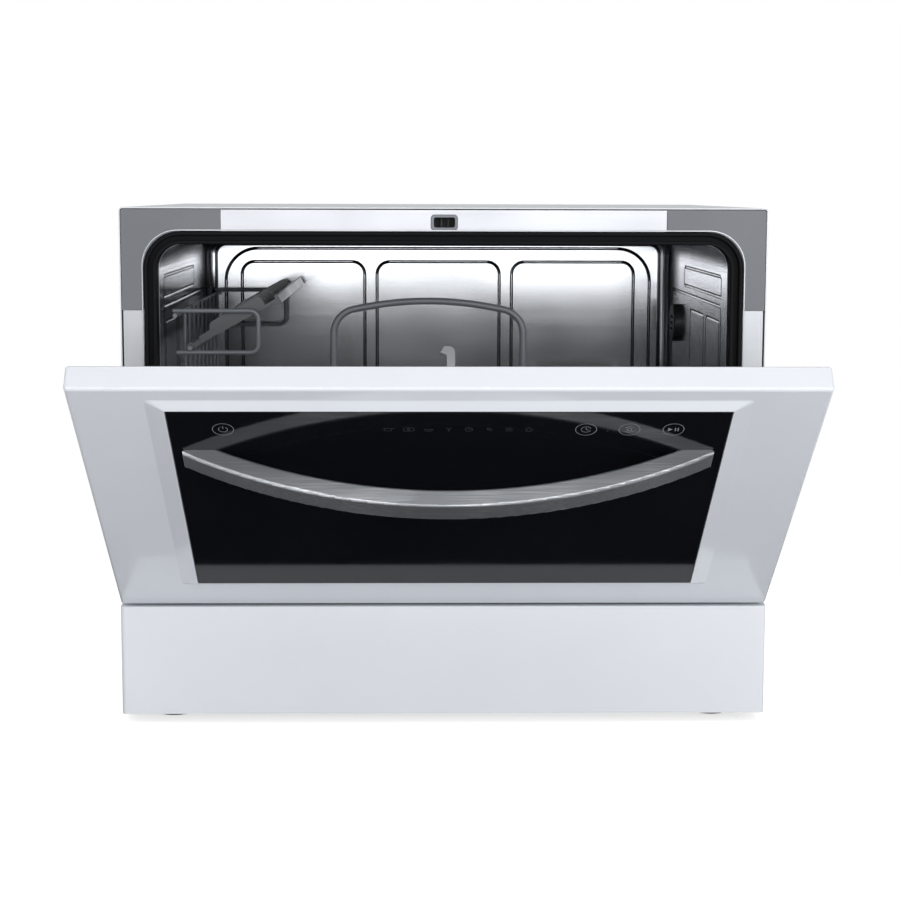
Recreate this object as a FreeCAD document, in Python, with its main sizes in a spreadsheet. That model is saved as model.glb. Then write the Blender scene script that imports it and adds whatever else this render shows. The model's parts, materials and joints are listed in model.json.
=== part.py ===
import FreeCAD, Part
import math
import os
import re
import Sketcher

V = FreeCAD.Vector

# Driving dimensions in millimetres and degrees: name, value, what it measures.
SIZES = (
    ("cabinet_width", 550.0, "outside width of the cabinet and of the door"),
    ("cabinet_height", 438.0, "from the table to the top panel"),
    ("cabinet_depth", 500.0, "from the closed door's face to the back panel"),
    ("panel_sheet", 1.0, "painted steel sheet of the outer panels"),
    ("panel_bend", 3.0, "outside bend radius of the top panel"),
    ("panel_lap", 1.0, "top and side panels in front of the tub flange"),
    ("top_skirt", 13.0, "height of the top panel's folded skirt"),
    ("kick_height", 93.5, "height of the kick plate"),
    ("kick_return", 17.0, "depth of the kick plate's folded sides"),
    ("kick_bend", 4.0, "outside bend radius of the kick plate"),
    ("frame_setback", 34.0, "tub flange behind the kick plate's face"),
    ("fit_gap", 0.3, "clearance between fixed neighbours"),
    ("run_clear", 0.05, "radial clearance of a running pin"),
    ("turn_gap", 0.1, "clearance under a turning cap or cup"),
    ("slot_gap", 0.5, "clearance beside a plate in its slot"),
    ("cut_over", 1.0, "run of a cut past the face that it opens"),
    ("foot_height", 8.0, "rubber foot below the base pan"),
    ("foot_radius", 18.0, "rubber foot pad"),
    ("foot_stem", 5.0, "radius of the foot's stem"),
    ("foot_reach", 2.0, "foot's stem above the pan's floor"),
    ("foot_inset", 40.0, "foot centre from the pan's edge"),
    ("pan_wall", 3.0, "wall of the moulded base pan"),
    ("pan_setback", 2.0, "pan's upright behind the tub flange"),
    ("rail_inset", 38.5, "tub rail in from the tub's side wall"),
    ("rail_thick", 5.0, "thickness of a tub rail"),
    ("rail_start", 30.0, "front end of a rail behind the tub flange"),
    ("back_panel_base", 75.0, "lower edge of the back panel"),
    ("back_panel_corner", 6.0, "corner radius of the back panel"),
    ("vent_slots", 9, "slots in the back panel"),
    ("vent_pitch", 14.0, "spacing of the back panel's slots"),
    ("louvre_base", 219.0, "lowest slot above the table"),
    ("louvre_half", 45.0, "half length of a slot"),
    ("louvre_tall", 5.0, "height of a slot"),
    ("louvre_round", 2.4, "rounded ends of a slot"),
    ("tub_sheet", 1.2, "stainless sheet of the tub"),
    ("tub_room", 55.0, "space behind the tub's back wall"),
    ("mouth_side", 20.0, "tub's mouth in from the cabinet's side"),
    ("mouth_rise", 14.0, "tub's mouth above the door's lower edge"),
    ("mouth_drop", 20.0, "tub's mouth below the cabinet's top"),
    ("mouth_corner", 32.0, "corner radius of the mouth"),
    ("gasket_band", 11.5, "width of the gasket channel"),
    ("gasket_proud", 1.7, "gasket in front of the flange"),
    ("gasket_groove", 4.0, "groove between the gasket's lips"),
    ("gasket_lip", 5.0, "depth of the groove between the lips"),
    ("gasket_round", 1.2, "rounded lips of the gasket"),
    ("collar_depth", 15.0, "depth of the gasket channel"),
    ("flange_rise", 4.0, "tub flange above the door's lower edge"),
    ("flange_side", 1.5, "tub flange in from the side panels"),
    ("flange_drop", 1.0, "tub flange below the top panel"),
    ("notch_room", 2.0, "room round the hinge brackets in the flange"),
    ("wall_seam", 4.0, "flat land beside the tub's rounded corners"),
    ("tub_back_round", 12.0, "round between back wall and sides"),
    ("dish_land", 2.0, "flat land in front of the back wall's round"),
    ("bead_radius", 2.5, "tool radius of the pressed beads"),
    ("bead_depth", 0.7, "depth of the pressed beads"),
    ("back_bead_side", 20.0, "outer bead of the back wall from the side walls"),
    ("back_bead_drop", 14.5, "outer bead below the tub's roof"),
    ("back_bead_rise", 18.5, "outer bead above the tub's floor"),
    ("back_bead_round", 34.0, "corner of the outer bead"),
    ("back_panel_side", 17.0, "pressed back panels inside the outer bead"),
    ("back_panel_drop", 14.0, "pressed back panels below and above the outer bead"),
    ("back_panel_gap", 13.0, "gap between the three pressed back panels"),
    ("back_panel_round", 13.0, "corner of the pressed back panels"),
    ("side_bead_start", 31.0, "side wall beads behind the gasket channel"),
    ("side_bead_end", 35.0, "lower side bead in front of the back wall"),
    ("side_bead_rise", 38.5, "lower side bead above the tub's floor"),
    ("side_bead_round", 9.0, "corner of the lower side bead"),
    ("side_upper_drop", 28.5, "upper side bead below the tub's roof"),
    ("side_upper_tall", 18.0, "height of the upper side bead"),
    ("side_upper_gap", 8.0, "gap between the two side beads"),
    ("side_upper_end", 125.0, "upper side bead in front of the back wall"),
    ("side_press_start", 9.0, "side panels behind the side bead's front"),
    ("side_press_rise", 10.0, "side panels above the side bead's foot"),
    ("side_press_drop", 14.0, "side panels below the lower side bead's top"),
    ("side_press_gap", 14.0, "gap between the two side panels"),
    ("side_press_split", 272.0, "front side panel's end in front of the back wall"),
    ("side_press_end", 170.0, "rear side panel's end in front of the back wall"),
    ("side_press_round", 5.0, "corner of the side panels"),
    ("cover_arm", 86.0, "length of the corner cover's arms"),
    ("cover_thick", 1.6, "thickness of the corner covers"),
    ("cover_lap", 1.0, "corner cover outside the flange"),
    ("cover_head", 0.5, "corner cover above the flange"),
    ("cover_corner", 2.0, "outer corner of the covers"),
    ("cover_round", 0.6, "rounded edge of the covers"),
    ("latch_rise", 7.5, "middle of the latch slot above the mouth"),
    ("latch_width", 23.0, "width of the latch bezel"),
    ("latch_tall", 13.4, "height of the latch bezel"),
    ("latch_rim", 2.8, "rim of the latch bezel"),
    ("latch_proud", 1.4, "bezel in front of the flange"),
    ("latch_corner", 3.2, "corner of the bezel"),
    ("latch_slot_round", 1.5, "corner of the latch slot"),
    ("latch_round", 0.5, "rounded edge of the bezel"),
    ("latch_deep", 36.0, "depth of the latch housing"),
    ("latch_case", 24.0, "half width of the latch housing"),
    ("latch_end", 8.0, "solid end of the latch housing"),
    ("latch_lip", 0.4, "latch pocket wider than its slot"),
    ("latch_fin", 1.4, "thickness of the two fins in the latch"),
    ("latch_fin_side", 3.0, "fins from the middle of the latch"),
    ("latch_fin_start", 14.0, "fins behind the flange"),
    ("door_proud", 5.0, "closed door in front of the kick plate"),
    ("door_gap", 4.5, "gap between kick plate and door"),
    ("door_top_gap", 1.0, "door's upper edge below the cabinet's top"),
    ("door_edge_depth", 19.4, "depth of the white door shell"),
    ("door_shell", 2.5, "wall of the white door shell"),
    ("door_edge_round", 3.0, "rounded edge of the door's face"),
    ("door_corner", 2.0, "corner radius of the door"),
    ("hinge_inset", 10.0, "hinge axis behind the door's face"),
    ("hinge_rise", 10.0, "hinge axis above the door's lower edge"),
    ("door_rest_angle", 50.6, "door opened from its closed place"),
    ("glass_side", 70.1, "black glass in from the door's side"),
    ("glass_head", 22.7, "glass below the door's upper edge"),
    ("glass_base", 46.1, "glass above the door's lower edge"),
    ("glass_thick", 4.0, "thickness of the glass"),
    ("glass_proud", 4.3, "glass in front of the door's face"),
    ("glass_ledge", 8.0, "ledge that the glass rests on"),
    ("glass_corner", 0.8, "corner radius of the glass"),
    ("glass_chamfer", 0.5, "ground edge of the glass"),
    ("bevel_side", 14.5, "width of the raised frame at the sides"),
    ("bevel_head", 8.4, "width of the raised frame at the top"),
    ("bevel_foot", 8.4, "width of the raised frame at the foot"),
    ("bevel_land", 0.8, "crest of the frame beside the glass"),
    ("bevel_round", 3.0, "corner of the slope's outer edge"),
    ("bevel_inner", 1.0, "corner of the slope's inner edge"),
    ("bevel_blend", 3.0, "round between the door's face and the slope"),
    ("handle_inset", 1.0, "handle's ends in from the side of the glass"),
    ("handle_reach", 48.5, "outer face of the handle off the glass"),
    ("handle_thick", 14.5, "thickness of the handle bar"),
    ("handle_height", 20.0, "height of the handle bar"),
    ("handle_drop", 71.9, "handle's lower edge below the top of the glass"),
    ("handle_round", 2.0, "rounded edges of the handle bar"),
    ("liner_sheet", 1.0, "stainless sheet of the door liner"),
    ("liner_edge", 1.0, "liner inside the door's edge"),
    ("liner_side", 25.0, "liner's raised pan in from the door's side"),
    ("liner_base", 18.0, "foot of the raised pan"),
    ("liner_head", 24.0, "raised pan below the door's upper edge"),
    ("liner_face", 37.0, "raised pan behind the door's face"),
    ("liner_corner", 30.0, "upper corners of the raised pan"),
    ("liner_foot_corner", 12.0, "lower corners of the raised pan"),
    ("liner_bend", 4.0, "bend round the raised pan's face"),
    ("liner_notch", 4.0, "room round the hinge eye in the liner"),
    ("liner_screw", 3.6, "radius of a liner screw's head"),
    ("liner_screw_head", 2.2, "height of a liner screw's head"),
    ("liner_screw_edge", 12.5, "liner screws from the door's side and top"),
    ("liner_screw_low", 100.0, "lowest liner screw above the door's lower edge"),
    ("liner_screw_high", 66.0, "highest side screw below the door's upper edge"),
    ("liner_screw_half", 120.0, "top screws from the middle of the door"),
    ("hinge_plate", 3.0, "steel plate of the hinge parts"),
    ("hinge_pin", 3.0, "radius of the hinge pin"),
    ("hinge_pin_end", 0.8, "pin outside the bracket"),
    ("hinge_eye", 6.5, "radius of the eye round the pin"),
    ("hinge_arm_height", 10.0, "height of the bracket's arm"),
    ("bracket_reach", 66.0, "bracket behind the tub flange"),
    ("bracket_start", 10.0, "bracket's foot behind the tub flange"),
    ("bracket_drop", 26.0, "bracket's foot below its arm"),
    ("hinge_strap", 5.0, "half width of the arm's strap in the door"),
    ("hinge_foot_base", 24.0, "foot of the arm above the door's lower edge"),
    ("hinge_foot_top", 70.0, "top of the arm above the door's lower edge"),
    ("hinge_foot_width", 24.0, "width of the arm's foot on the liner"),
    ("spring_room", 13.0, "pin's inner end that carries the door spring"),
    ("spring_wire", 0.9, "radius of the door spring's wire"),
    ("spring_gap", 0.6, "gap between the spring's coils"),
    ("spring_turns", 3, "coils of the door spring"),
    ("spring_clear", 1.3, "coils off the hinge pin"),
    ("spring_leg", 34.0, "leg of the spring along the arm"),
    ("hook_wide", 9.0, "width of the latch hook's stem"),
    ("hook_reach", 45.0, "tip of the hook behind the door's face"),
    ("hook_thick", 4.0, "thickness of the latch hook"),
    ("hook_foot_half", 13.0, "half width of the hook's foot"),
    ("hook_foot_rise", 6.0, "half height of the hook's foot"),
    ("hook_foot_thick", 2.0, "thickness and corner of the hook's foot"),
    ("hook_barb", 2.5, "barb beside the hook's stem"),
    ("hook_nose", 5.0, "rounded nose of the hook"),
    ("hook_barb_start", 6.0, "barb's point below the hook's tip"),
    ("hook_barb_end", 8.5, "barb's heel below the hook's tip"),
    ("hook_round", 0.8, "rounded edge of the hook"),
    ("dispenser_width", 190.0, "width of the dispenser's face"),
    ("dispenser_height", 120.0, "height of the dispenser's face"),
    ("dispenser_drop", 48.3, "dispenser below the control board"),
    ("dispenser_plate", 3.0, "face plate of the dispenser"),
    ("dispenser_lap", 6.0, "face plate over the liner's hole"),
    ("dispenser_corner", 6.0, "corner of the face plate"),
    ("dispenser_hole_round", 3.0, "corner of the liner's hole"),
    ("dispenser_deep", 22.0, "dispenser body behind the liner's face"),
    ("cup_wide", 58.0, "width of the detergent cup"),
    ("cup_tall", 66.0, "height of the detergent cup"),
    ("cup_deep", 18.0, "depth of the detergent cup"),
    ("cup_round", 8.0, "corner of the detergent cup"),
    ("lid_thick", 2.4, "thickness of the detergent lid"),
    ("lid_lap", 3.0, "lap of the lid over the cup's edge"),
    ("lid_corner", 3.0, "corner of the lid"),
    ("lid_travel", 62.0, "slide of the detergent lid"),
    ("lid_rib", 4.0, "width of the lid's finger rib"),
    ("lid_rib_edge", 5.0, "rib in from the lid's edge"),
    ("lid_rib_half", 20.0, "half length of the rib"),
    ("lid_rib_tall", 2.0, "height of the rib"),
    ("lid_rib_round", 1.5, "corner of the rib"),
    ("track_wall", 4.0, "wall of the lid's tracks"),
    ("track_lip", 1.8, "lip of the tracks over the lid"),
    ("track_roof", 1.2, "thickness of the tracks' lip"),
    ("cap_radius", 17.0, "rinse-aid cap"),
    ("cap_edge", 8.0, "rinse-aid cap from the dispenser's edge"),
    ("cap_height", 6.0, "rinse-aid cap above the plate"),
    ("cap_round", 1.5, "rounded edge of the cap"),
    ("cap_neck", 11.0, "neck of the rinse-aid cap"),
    ("cap_neck_run", 10.0, "neck behind the plate"),
    ("cap_well", 12.0, "well behind the plate for the neck"),
    ("cap_grip_half", 13.0, "half length of the cap's grip"),
    ("cap_grip", 2.5, "half width of the grip"),
    ("cap_grip_tall", 4.0, "height of the grip"),
    ("cap_grip_round", 2.0, "rounded ends of the grip"),
    ("board_side", 26.0, "control board in from the side of the glass"),
    ("board_drop", 3.0, "control board below the glass ledge"),
    ("board_height", 34.0, "height of the control board"),
    ("board_corner", 2.0, "corner of the board"),
    ("board_stand", 2.0, "board behind the glass"),
    ("board_thick", 1.6, "thickness of the board"),
    ("board_post", 3.5, "radius of the posts on the glass"),
    ("board_post_edge", 8.0, "posts from the board's edges"),
    ("chip_count", 4, "cased parts on the board"),
    ("chip_wide", 22.0, "width of a cased part"),
    ("chip_tall", 14.0, "height of a cased part"),
    ("chip_high", 3.4, "cased part off the board"),
    ("chip_edge", 40.0, "outer cased parts from the board's ends"),
    ("sink_in", 0.1, "run of a boss into the piece that it grows from"),
    ("inlet_reach", 12.0, "water inlet behind the back panel"),
    ("port_height", 50.0, "water ports above the table"),
    ("inlet_inset", 154.0, "water inlet in from the pan's right side"),
    ("inlet_radius", 13.2, "three-quarter inch inlet thread"),
    ("port_collar", 3.0, "collar round each water port"),
    ("port_collar_run", 6.0, "collar longer than the pan's wall"),
    ("port_collar_start", 4.0, "collar inside the pan's wall"),
    ("drain_offset", 57.0, "drain spigot outside the drain pump's port"),
    ("drain_radius", 10.0, "drain spigot"),
    ("drain_wall", 2.5, "wall of the drain pipe"),
    ("drain_short", 2.0, "drain spigot shorter than the inlet"),
    ("gland_inset", 89.0, "cord gland in from the pan's right side"),
    ("gland_radius", 8.0, "cord gland body"),
    ("gland_bore", 3.5, "bore of the cord gland"),
    ("gland_run", 15.0, "length of the cord gland"),
    ("gland_start", 10.0, "gland inside the pan's back"),
    ("gland_nut", 4.0, "gland's nut round its body"),
    ("gland_nut_run", 5.0, "length of the gland's nut"),
    ("back_screw", 4.0, "radius of a back panel screw's head"),
    ("back_screw_head", 2.4, "height of a back panel screw's head"),
    ("back_screw_edge", 10.0, "back panel screws from the pan's side"),
    ("back_screw_low", 110.0, "lowest back panel screw above the table"),
    ("back_screw_high", 31.0, "highest back panel screw below the top"),
    ("back_screw_count", 4, "screws up each side of the back panel"),
    ("arm_shift", 0.5, "spray arm's axis behind the tub's middle"),
    ("arm_clear", 13.5, "spray arm's tip from the tub's walls"),
    ("arm_lift", 9.5, "underside of the spray arm above the tub's floor"),
    ("arm_thick", 11.0, "spray arm from its underside to its crown"),
    ("arm_step", 2.0, "underside of the blades above the hub's step"),
    ("arm_root", 18.0, "half width of a blade at the hub"),
    ("arm_tip", 10.0, "half width of a blade at the tip"),
    ("arm_round", 3.0, "rounded crown of the blades"),
    ("hub_wall", 6.0, "wall of the spray arm's hub"),
    ("hub_lift", 2.0, "hub above the tub's floor"),
    ("hub_crown", 3.0, "domed crown of the hub"),
    ("hub_dome", 2.0, "crown inside the riser's edge"),
    ("hub_clear", 0.4, "hub above the riser's end"),
    ("jet_radius", 1.8, "spray jet"),
    ("jet_offset", 4.0, "jets beside the blade's middle"),
    ("jet_deep", 4.0, "depth of a jet"),
    ("jet_count", 4, "jets on a blade"),
    ("jet_first", 64.0, "innermost jet from the axis"),
    ("jet_pitch", 31.0, "spacing of the jets"),
    ("riser_radius", 15.0, "sump riser that carries the spray arm"),
    ("riser_bore", 11.0, "bore of the riser"),
    ("riser_stand", 1.2, "riser above the underside of the spray arm"),
    ("sump_radius", 88.0, "hole in the tub's floor"),
    ("sump_step", 4.0, "sump bowl inside the hole"),
    ("sump_depth", 52.3, "sump below the tub's floor"),
    ("sump_wall", 4.0, "wall of the sump"),
    ("sump_lip", 12.0, "sump flange under the tub's floor"),
    ("sump_flange", 3.0, "thickness of the sump's flange"),
    ("sump_port_rise", 20.0, "side ports above the sump's bottom"),
    ("port_side", 40.0, "pump ports from the middle of the sump"),
    ("port_front", 3.0, "pump ports behind the front of the hole"),
    ("port_tail", 10.0, "heater port behind the rear of the hole"),
    ("port_run", 17.0, "length of a port"),
    ("port_through", 6.0, "bore of a port past its end"),
    ("port_wall", 3.0, "wall of a port"),
    ("wash_port", 14.0, "port of the wash pump"),
    ("drain_port", 10.0, "port of the drain pump"),
    ("heater_port", 12.0, "port of the heater"),
    ("plate_clear", 2.0, "filter plate inside the hole"),
    ("plate_hole", 3.0, "radius of the filter plate's holes"),
    ("plate_ring", 17.6, "outer ring of holes from the hole's edge"),
    ("plate_ring_inner", 39.6, "inner ring of holes from the hole's edge"),
    ("strainer_offset", 52.0, "filter cup in front of the spray arm's axis"),
    ("strainer_radius", 25.7, "filter cup"),
    ("strainer_depth", 41.5, "filter cup below the tub's floor"),
    ("strainer_wall", 2.4, "wall of the filter cup"),
    ("strainer_lip", 4.0, "lip of the filter cup"),
    ("strainer_grip", 2.5, "half width of the filter cup's grip"),
    ("strainer_grip_top", 6.0, "grip above the tub's floor"),
    ("pump_front", 10.0, "wash pump behind the pan's upright"),
    ("pump_lift", 51.0, "wash pump's axis above the pan's floor"),
    ("pump_room", 29.0, "room left by the volute between the pan's upright and the port"),
    ("pump_case_half", 20.0, "half width of the volute"),
    ("motor_step", 8.0, "motor's radius less than the volute's"),
    ("motor_gap", 33.0, "motor's end from the tub rail"),
    ("pump_foot", 12.0, "half width of a pump's foot"),
    ("pump_foot_tall", 20.0, "height of the wash pump's foot"),
    ("drain_stand", 68.0, "drain pump's axis in front of the sump's port"),
    ("drain_case", 29.0, "radius of the drain pump"),
    ("drain_case_run", 70.0, "length of the drain pump"),
    ("drain_case_side", 30.0, "drain pump outside its outlet"),
    ("drain_stub", 44.0, "outlet of the drain pump"),
    ("drain_duct", 10.0, "half width of the duct to the sump"),
    ("drain_duct_deep", 12.0, "duct in front of and behind the pump's axis"),
    ("drain_link", 6.0, "half height of the link to the duct"),
    ("heater_radius", 20.0, "flow heater"),
    ("heater_run", 95.0, "length of the flow heater"),
    ("heater_foot_start", 40.0, "heater's foot behind its port"),
    ("heater_foot_run", 24.0, "depth of the heater's foot"),
    ("heater_foot", 14.0, "half width of the heater's foot"),
    ("salt_inset", 78.5, "salt cap in from the tub's left wall"),
    ("salt_room", 54.0, "salt cap in front of the tub's back wall"),
    ("salt_neck", 24.0, "neck of the water softener"),
    ("salt_wall", 4.0, "wall of the neck"),
    ("salt_neck_run", 22.0, "neck below the tub's floor"),
    ("salt_well", 60.0, "depth of the softener's well"),
    ("salt_plug_lift", 4.0, "salt cap's plug above the neck's foot"),
    ("salt_cap_radius", 30.0, "salt cap"),
    ("salt_cap_thick", 4.5, "thickness of the salt cap"),
    ("salt_grip_half", 20.0, "half length of the salt cap's grip"),
    ("salt_grip", 3.0, "half width of the grip"),
    ("salt_grip_top", 7.5, "grip above the tub's floor"),
    ("tank_out", 34.0, "softener's tank outside its neck's axis"),
    ("tank_clear", 8.0, "softener's tank beside the drain pipe"),
    ("tank_half", 42.0, "half depth of the tank"),
    ("valve_half", 20.0, "half width of the inlet valve"),
    ("valve_deep", 28.0, "inlet valve in front of its outlet"),
    ("valve_rise", 25.0, "inlet valve above the ports"),
    ("valve_outlet", 7.0, "radius of the valve's outlet"),
    ("hose_room", 25.0, "hose in front of the pan's back"),
    ("hose_rise", 42.0, "foot of the hose above the ports"),
    ("hose_radius", 7.5, "hose to the air break"),
    ("hose_turn", 24.0, "bend of the hose"),
    ("vent_room", 86.0, "vent cap in front of the tub's back wall"),
    ("vent_drop", 86.5, "vent cap below the tub's roof"),
    ("vent_neck", 14.0, "neck of the air break"),
    ("vent_neck_run", 6.0, "neck outside the tub's wall"),
    ("vent_radius", 19.0, "vent cap inside the tub"),
    ("vent_thick", 7.0, "vent cap off the wall"),
    ("vent_round", 2.0, "rounded edge of the vent cap"),
    ("vent_slot_half", 9.0, "half length of the vent cap's slots"),
    ("vent_slot_tall", 3.0, "height of the vent cap's slots"),
    ("vent_slot_pitch", 6.0, "spacing of the vent cap's slots"),
    ("vent_slot_round", 1.4, "rounded ends of the slots"),
    ("vent_floor", 2.0, "floor of the vent cap behind its slots"),
    ("tank_gap", 3.0, "air break off the tub's wall"),
    ("tank_wide", 18.0, "width of the air break"),
    ("tank_front", 40.0, "air break in front of the vent cap"),
    ("tank_tail", 12.0, "air break behind the hose"),
    ("tank_drop", 110.0, "air break below the vent cap"),
    ("tank_rise", 40.0, "air break above the vent cap"),
    ("basket_side", 11.5, "basket rim in from the tub's wall"),
    ("basket_start", 27.0, "front rim behind the gasket channel"),
    ("basket_room", 35.0, "back rim in front of the tub's back wall"),
    ("basket_round", 26.0, "corner of the basket rim"),
    ("rim_rise", 106.5, "basket rim above the tub's floor"),
    ("rim_wire", 2.5, "radius of the rim wire"),
    ("grid_rise", 28.5, "lower floor wires above the tub's floor"),
    ("grid_wire", 1.75, "radius of the floor wires"),
    ("grid_rows", 9, "floor wires across"),
    ("grid_columns", 9, "floor wires from front to back"),
    ("grid_margin", 20.0, "first floor wire across from the rim"),
    ("grid_side", 26.0, "first floor wire from front to back from the rim"),
    ("weld_sink", 0.06, "depth that welded wires sink into each other"),
    ("tine_wire", 1.5, "radius of the plate tines"),
    ("tine_height", 54.0, "height of the plate tines"),
    ("tine_pitch", 30.0, "spacing of the plate tines"),
    ("tine_count", 10, "plate tines in a row"),
    ("tine_gap", 0.5, "least gap between a tine and a floor wire"),
    ("arch_middle", -13.0, "middle of the arched handle"),
    ("arch_half", 83.0, "half width of the arched handle"),
    ("arch_drop", 45.0, "peak of the arch below the tub's roof"),
    ("arch_bow", 15.5, "peak of the arch above its shoulders"),
    ("arch_crown", 290.0, "radius of the arch's bow"),
    ("arch_bend", 22.0, "radius of the arch's shoulders"),
    ("arch_wire", 3.0, "radius of the arch wire"),
    ("arch_foot", 6.0, "foot of the arch below the rim"),
    ("shelf_start", 9.0, "front loop of the cup shelf behind the channel"),
    ("shelf_room", 16.0, "back loop in front of the tub's back wall"),
    ("shelf_drop", 57.5, "upper wire of the shelf's loops below the roof"),
    ("shelf_tall", 36.0, "height of the shelf's loops"),
    ("shelf_reach", 83.5, "inner end of the shelf's loops from the tub's wall"),
    ("shelf_wire", 2.0, "radius of the shelf wire"),
    ("shelf_bend", 7.0, "bend of the shelf wire"),
    ("shelf_rod_end", 3.0, "shelf rods past the loops"),
    ("flap_inset", 24.5, "hinge of the comb flap from the tub's wall"),
    ("flap_width", 88.0, "comb flap from its hinge to its edge"),
    ("flap_thick", 2.6, "plate of the comb flap"),
    ("flap_barrel", 4.2, "barrel of the comb flap"),
    ("flap_edge", 3.5, "width of the flap's stiffened edge"),
    ("flap_edge_half", 4.5, "half height of the stiffened edge"),
    ("flap_edge_round", 1.2, "rounded corner of the stiffened edge"),
    ("flap_end", 8.0, "flap's ends inside the shelf's loops"),
    ("flap_angle", 29.0, "tilt of the comb flap"),
    ("comb_teeth", 13, "upright teeth on the comb flap"),
    ("comb_height", 11.0, "height of the teeth"),
    ("comb_thick", 3.0, "thickness of a tooth"),
    ("comb_start", 10.0, "teeth from the flap's hinge"),
    ("comb_shoulder", 22.0, "full height of the teeth from the hinge"),
    ("comb_low", 5.0, "height of the teeth's low end"),
    ("comb_end", 14.0, "teeth inside the flap's edge"),
    ("comb_round", 5.0, "rounded corners of the teeth"),
    ("wheel_radius", 11.0, "basket wheel"),
    ("wheel_width", 8.0, "axle's length for a basket wheel"),
    ("wheel_play", 0.5, "end play of a wheel on its axle"),
    ("wheel_inset", 27.5, "inner face of a wheel from the tub's wall"),
    ("axle_radius", 2.5, "basket wheel axle"),
    ("axle_bend", 5.0, "bend of the axle wire"),
    ("axle_drop", 12.0, "axle's upright inside the wheel"),
    ("wheel_lift", 0.1, "wheel above the tub's floor"),
    ("rack_inset", 32.0, "cutlery basket in from the basket rim"),
    ("rack_room", 19.0, "cutlery basket in front of the back rim"),
    ("rack_width", 92.0, "width of the cutlery basket"),
    ("rack_depth", 136.0, "depth of the cutlery basket"),
    ("rack_height", 92.0, "height of the cutlery basket"),
    ("rack_wall", 2.4, "wall of the cutlery basket"),
    ("rack_corner", 8.0, "corner of the cutlery basket"),
    ("rack_well_round", 6.0, "corner of the cutlery wells"),
    ("rack_slot", 11.0, "width of the cutlery basket's windows"),
    ("rack_slot_edge", 13.0, "first window from the front and back"),
    ("rack_slot_pitch", 20.0, "spacing of the windows"),
    ("rack_slot_base", 14.0, "windows above the cutlery basket's foot"),
    ("rack_slot_head", 16.0, "windows below the cutlery basket's top"),
    ("rack_slot_round", 3.0, "corner of the windows"),
)

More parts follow.
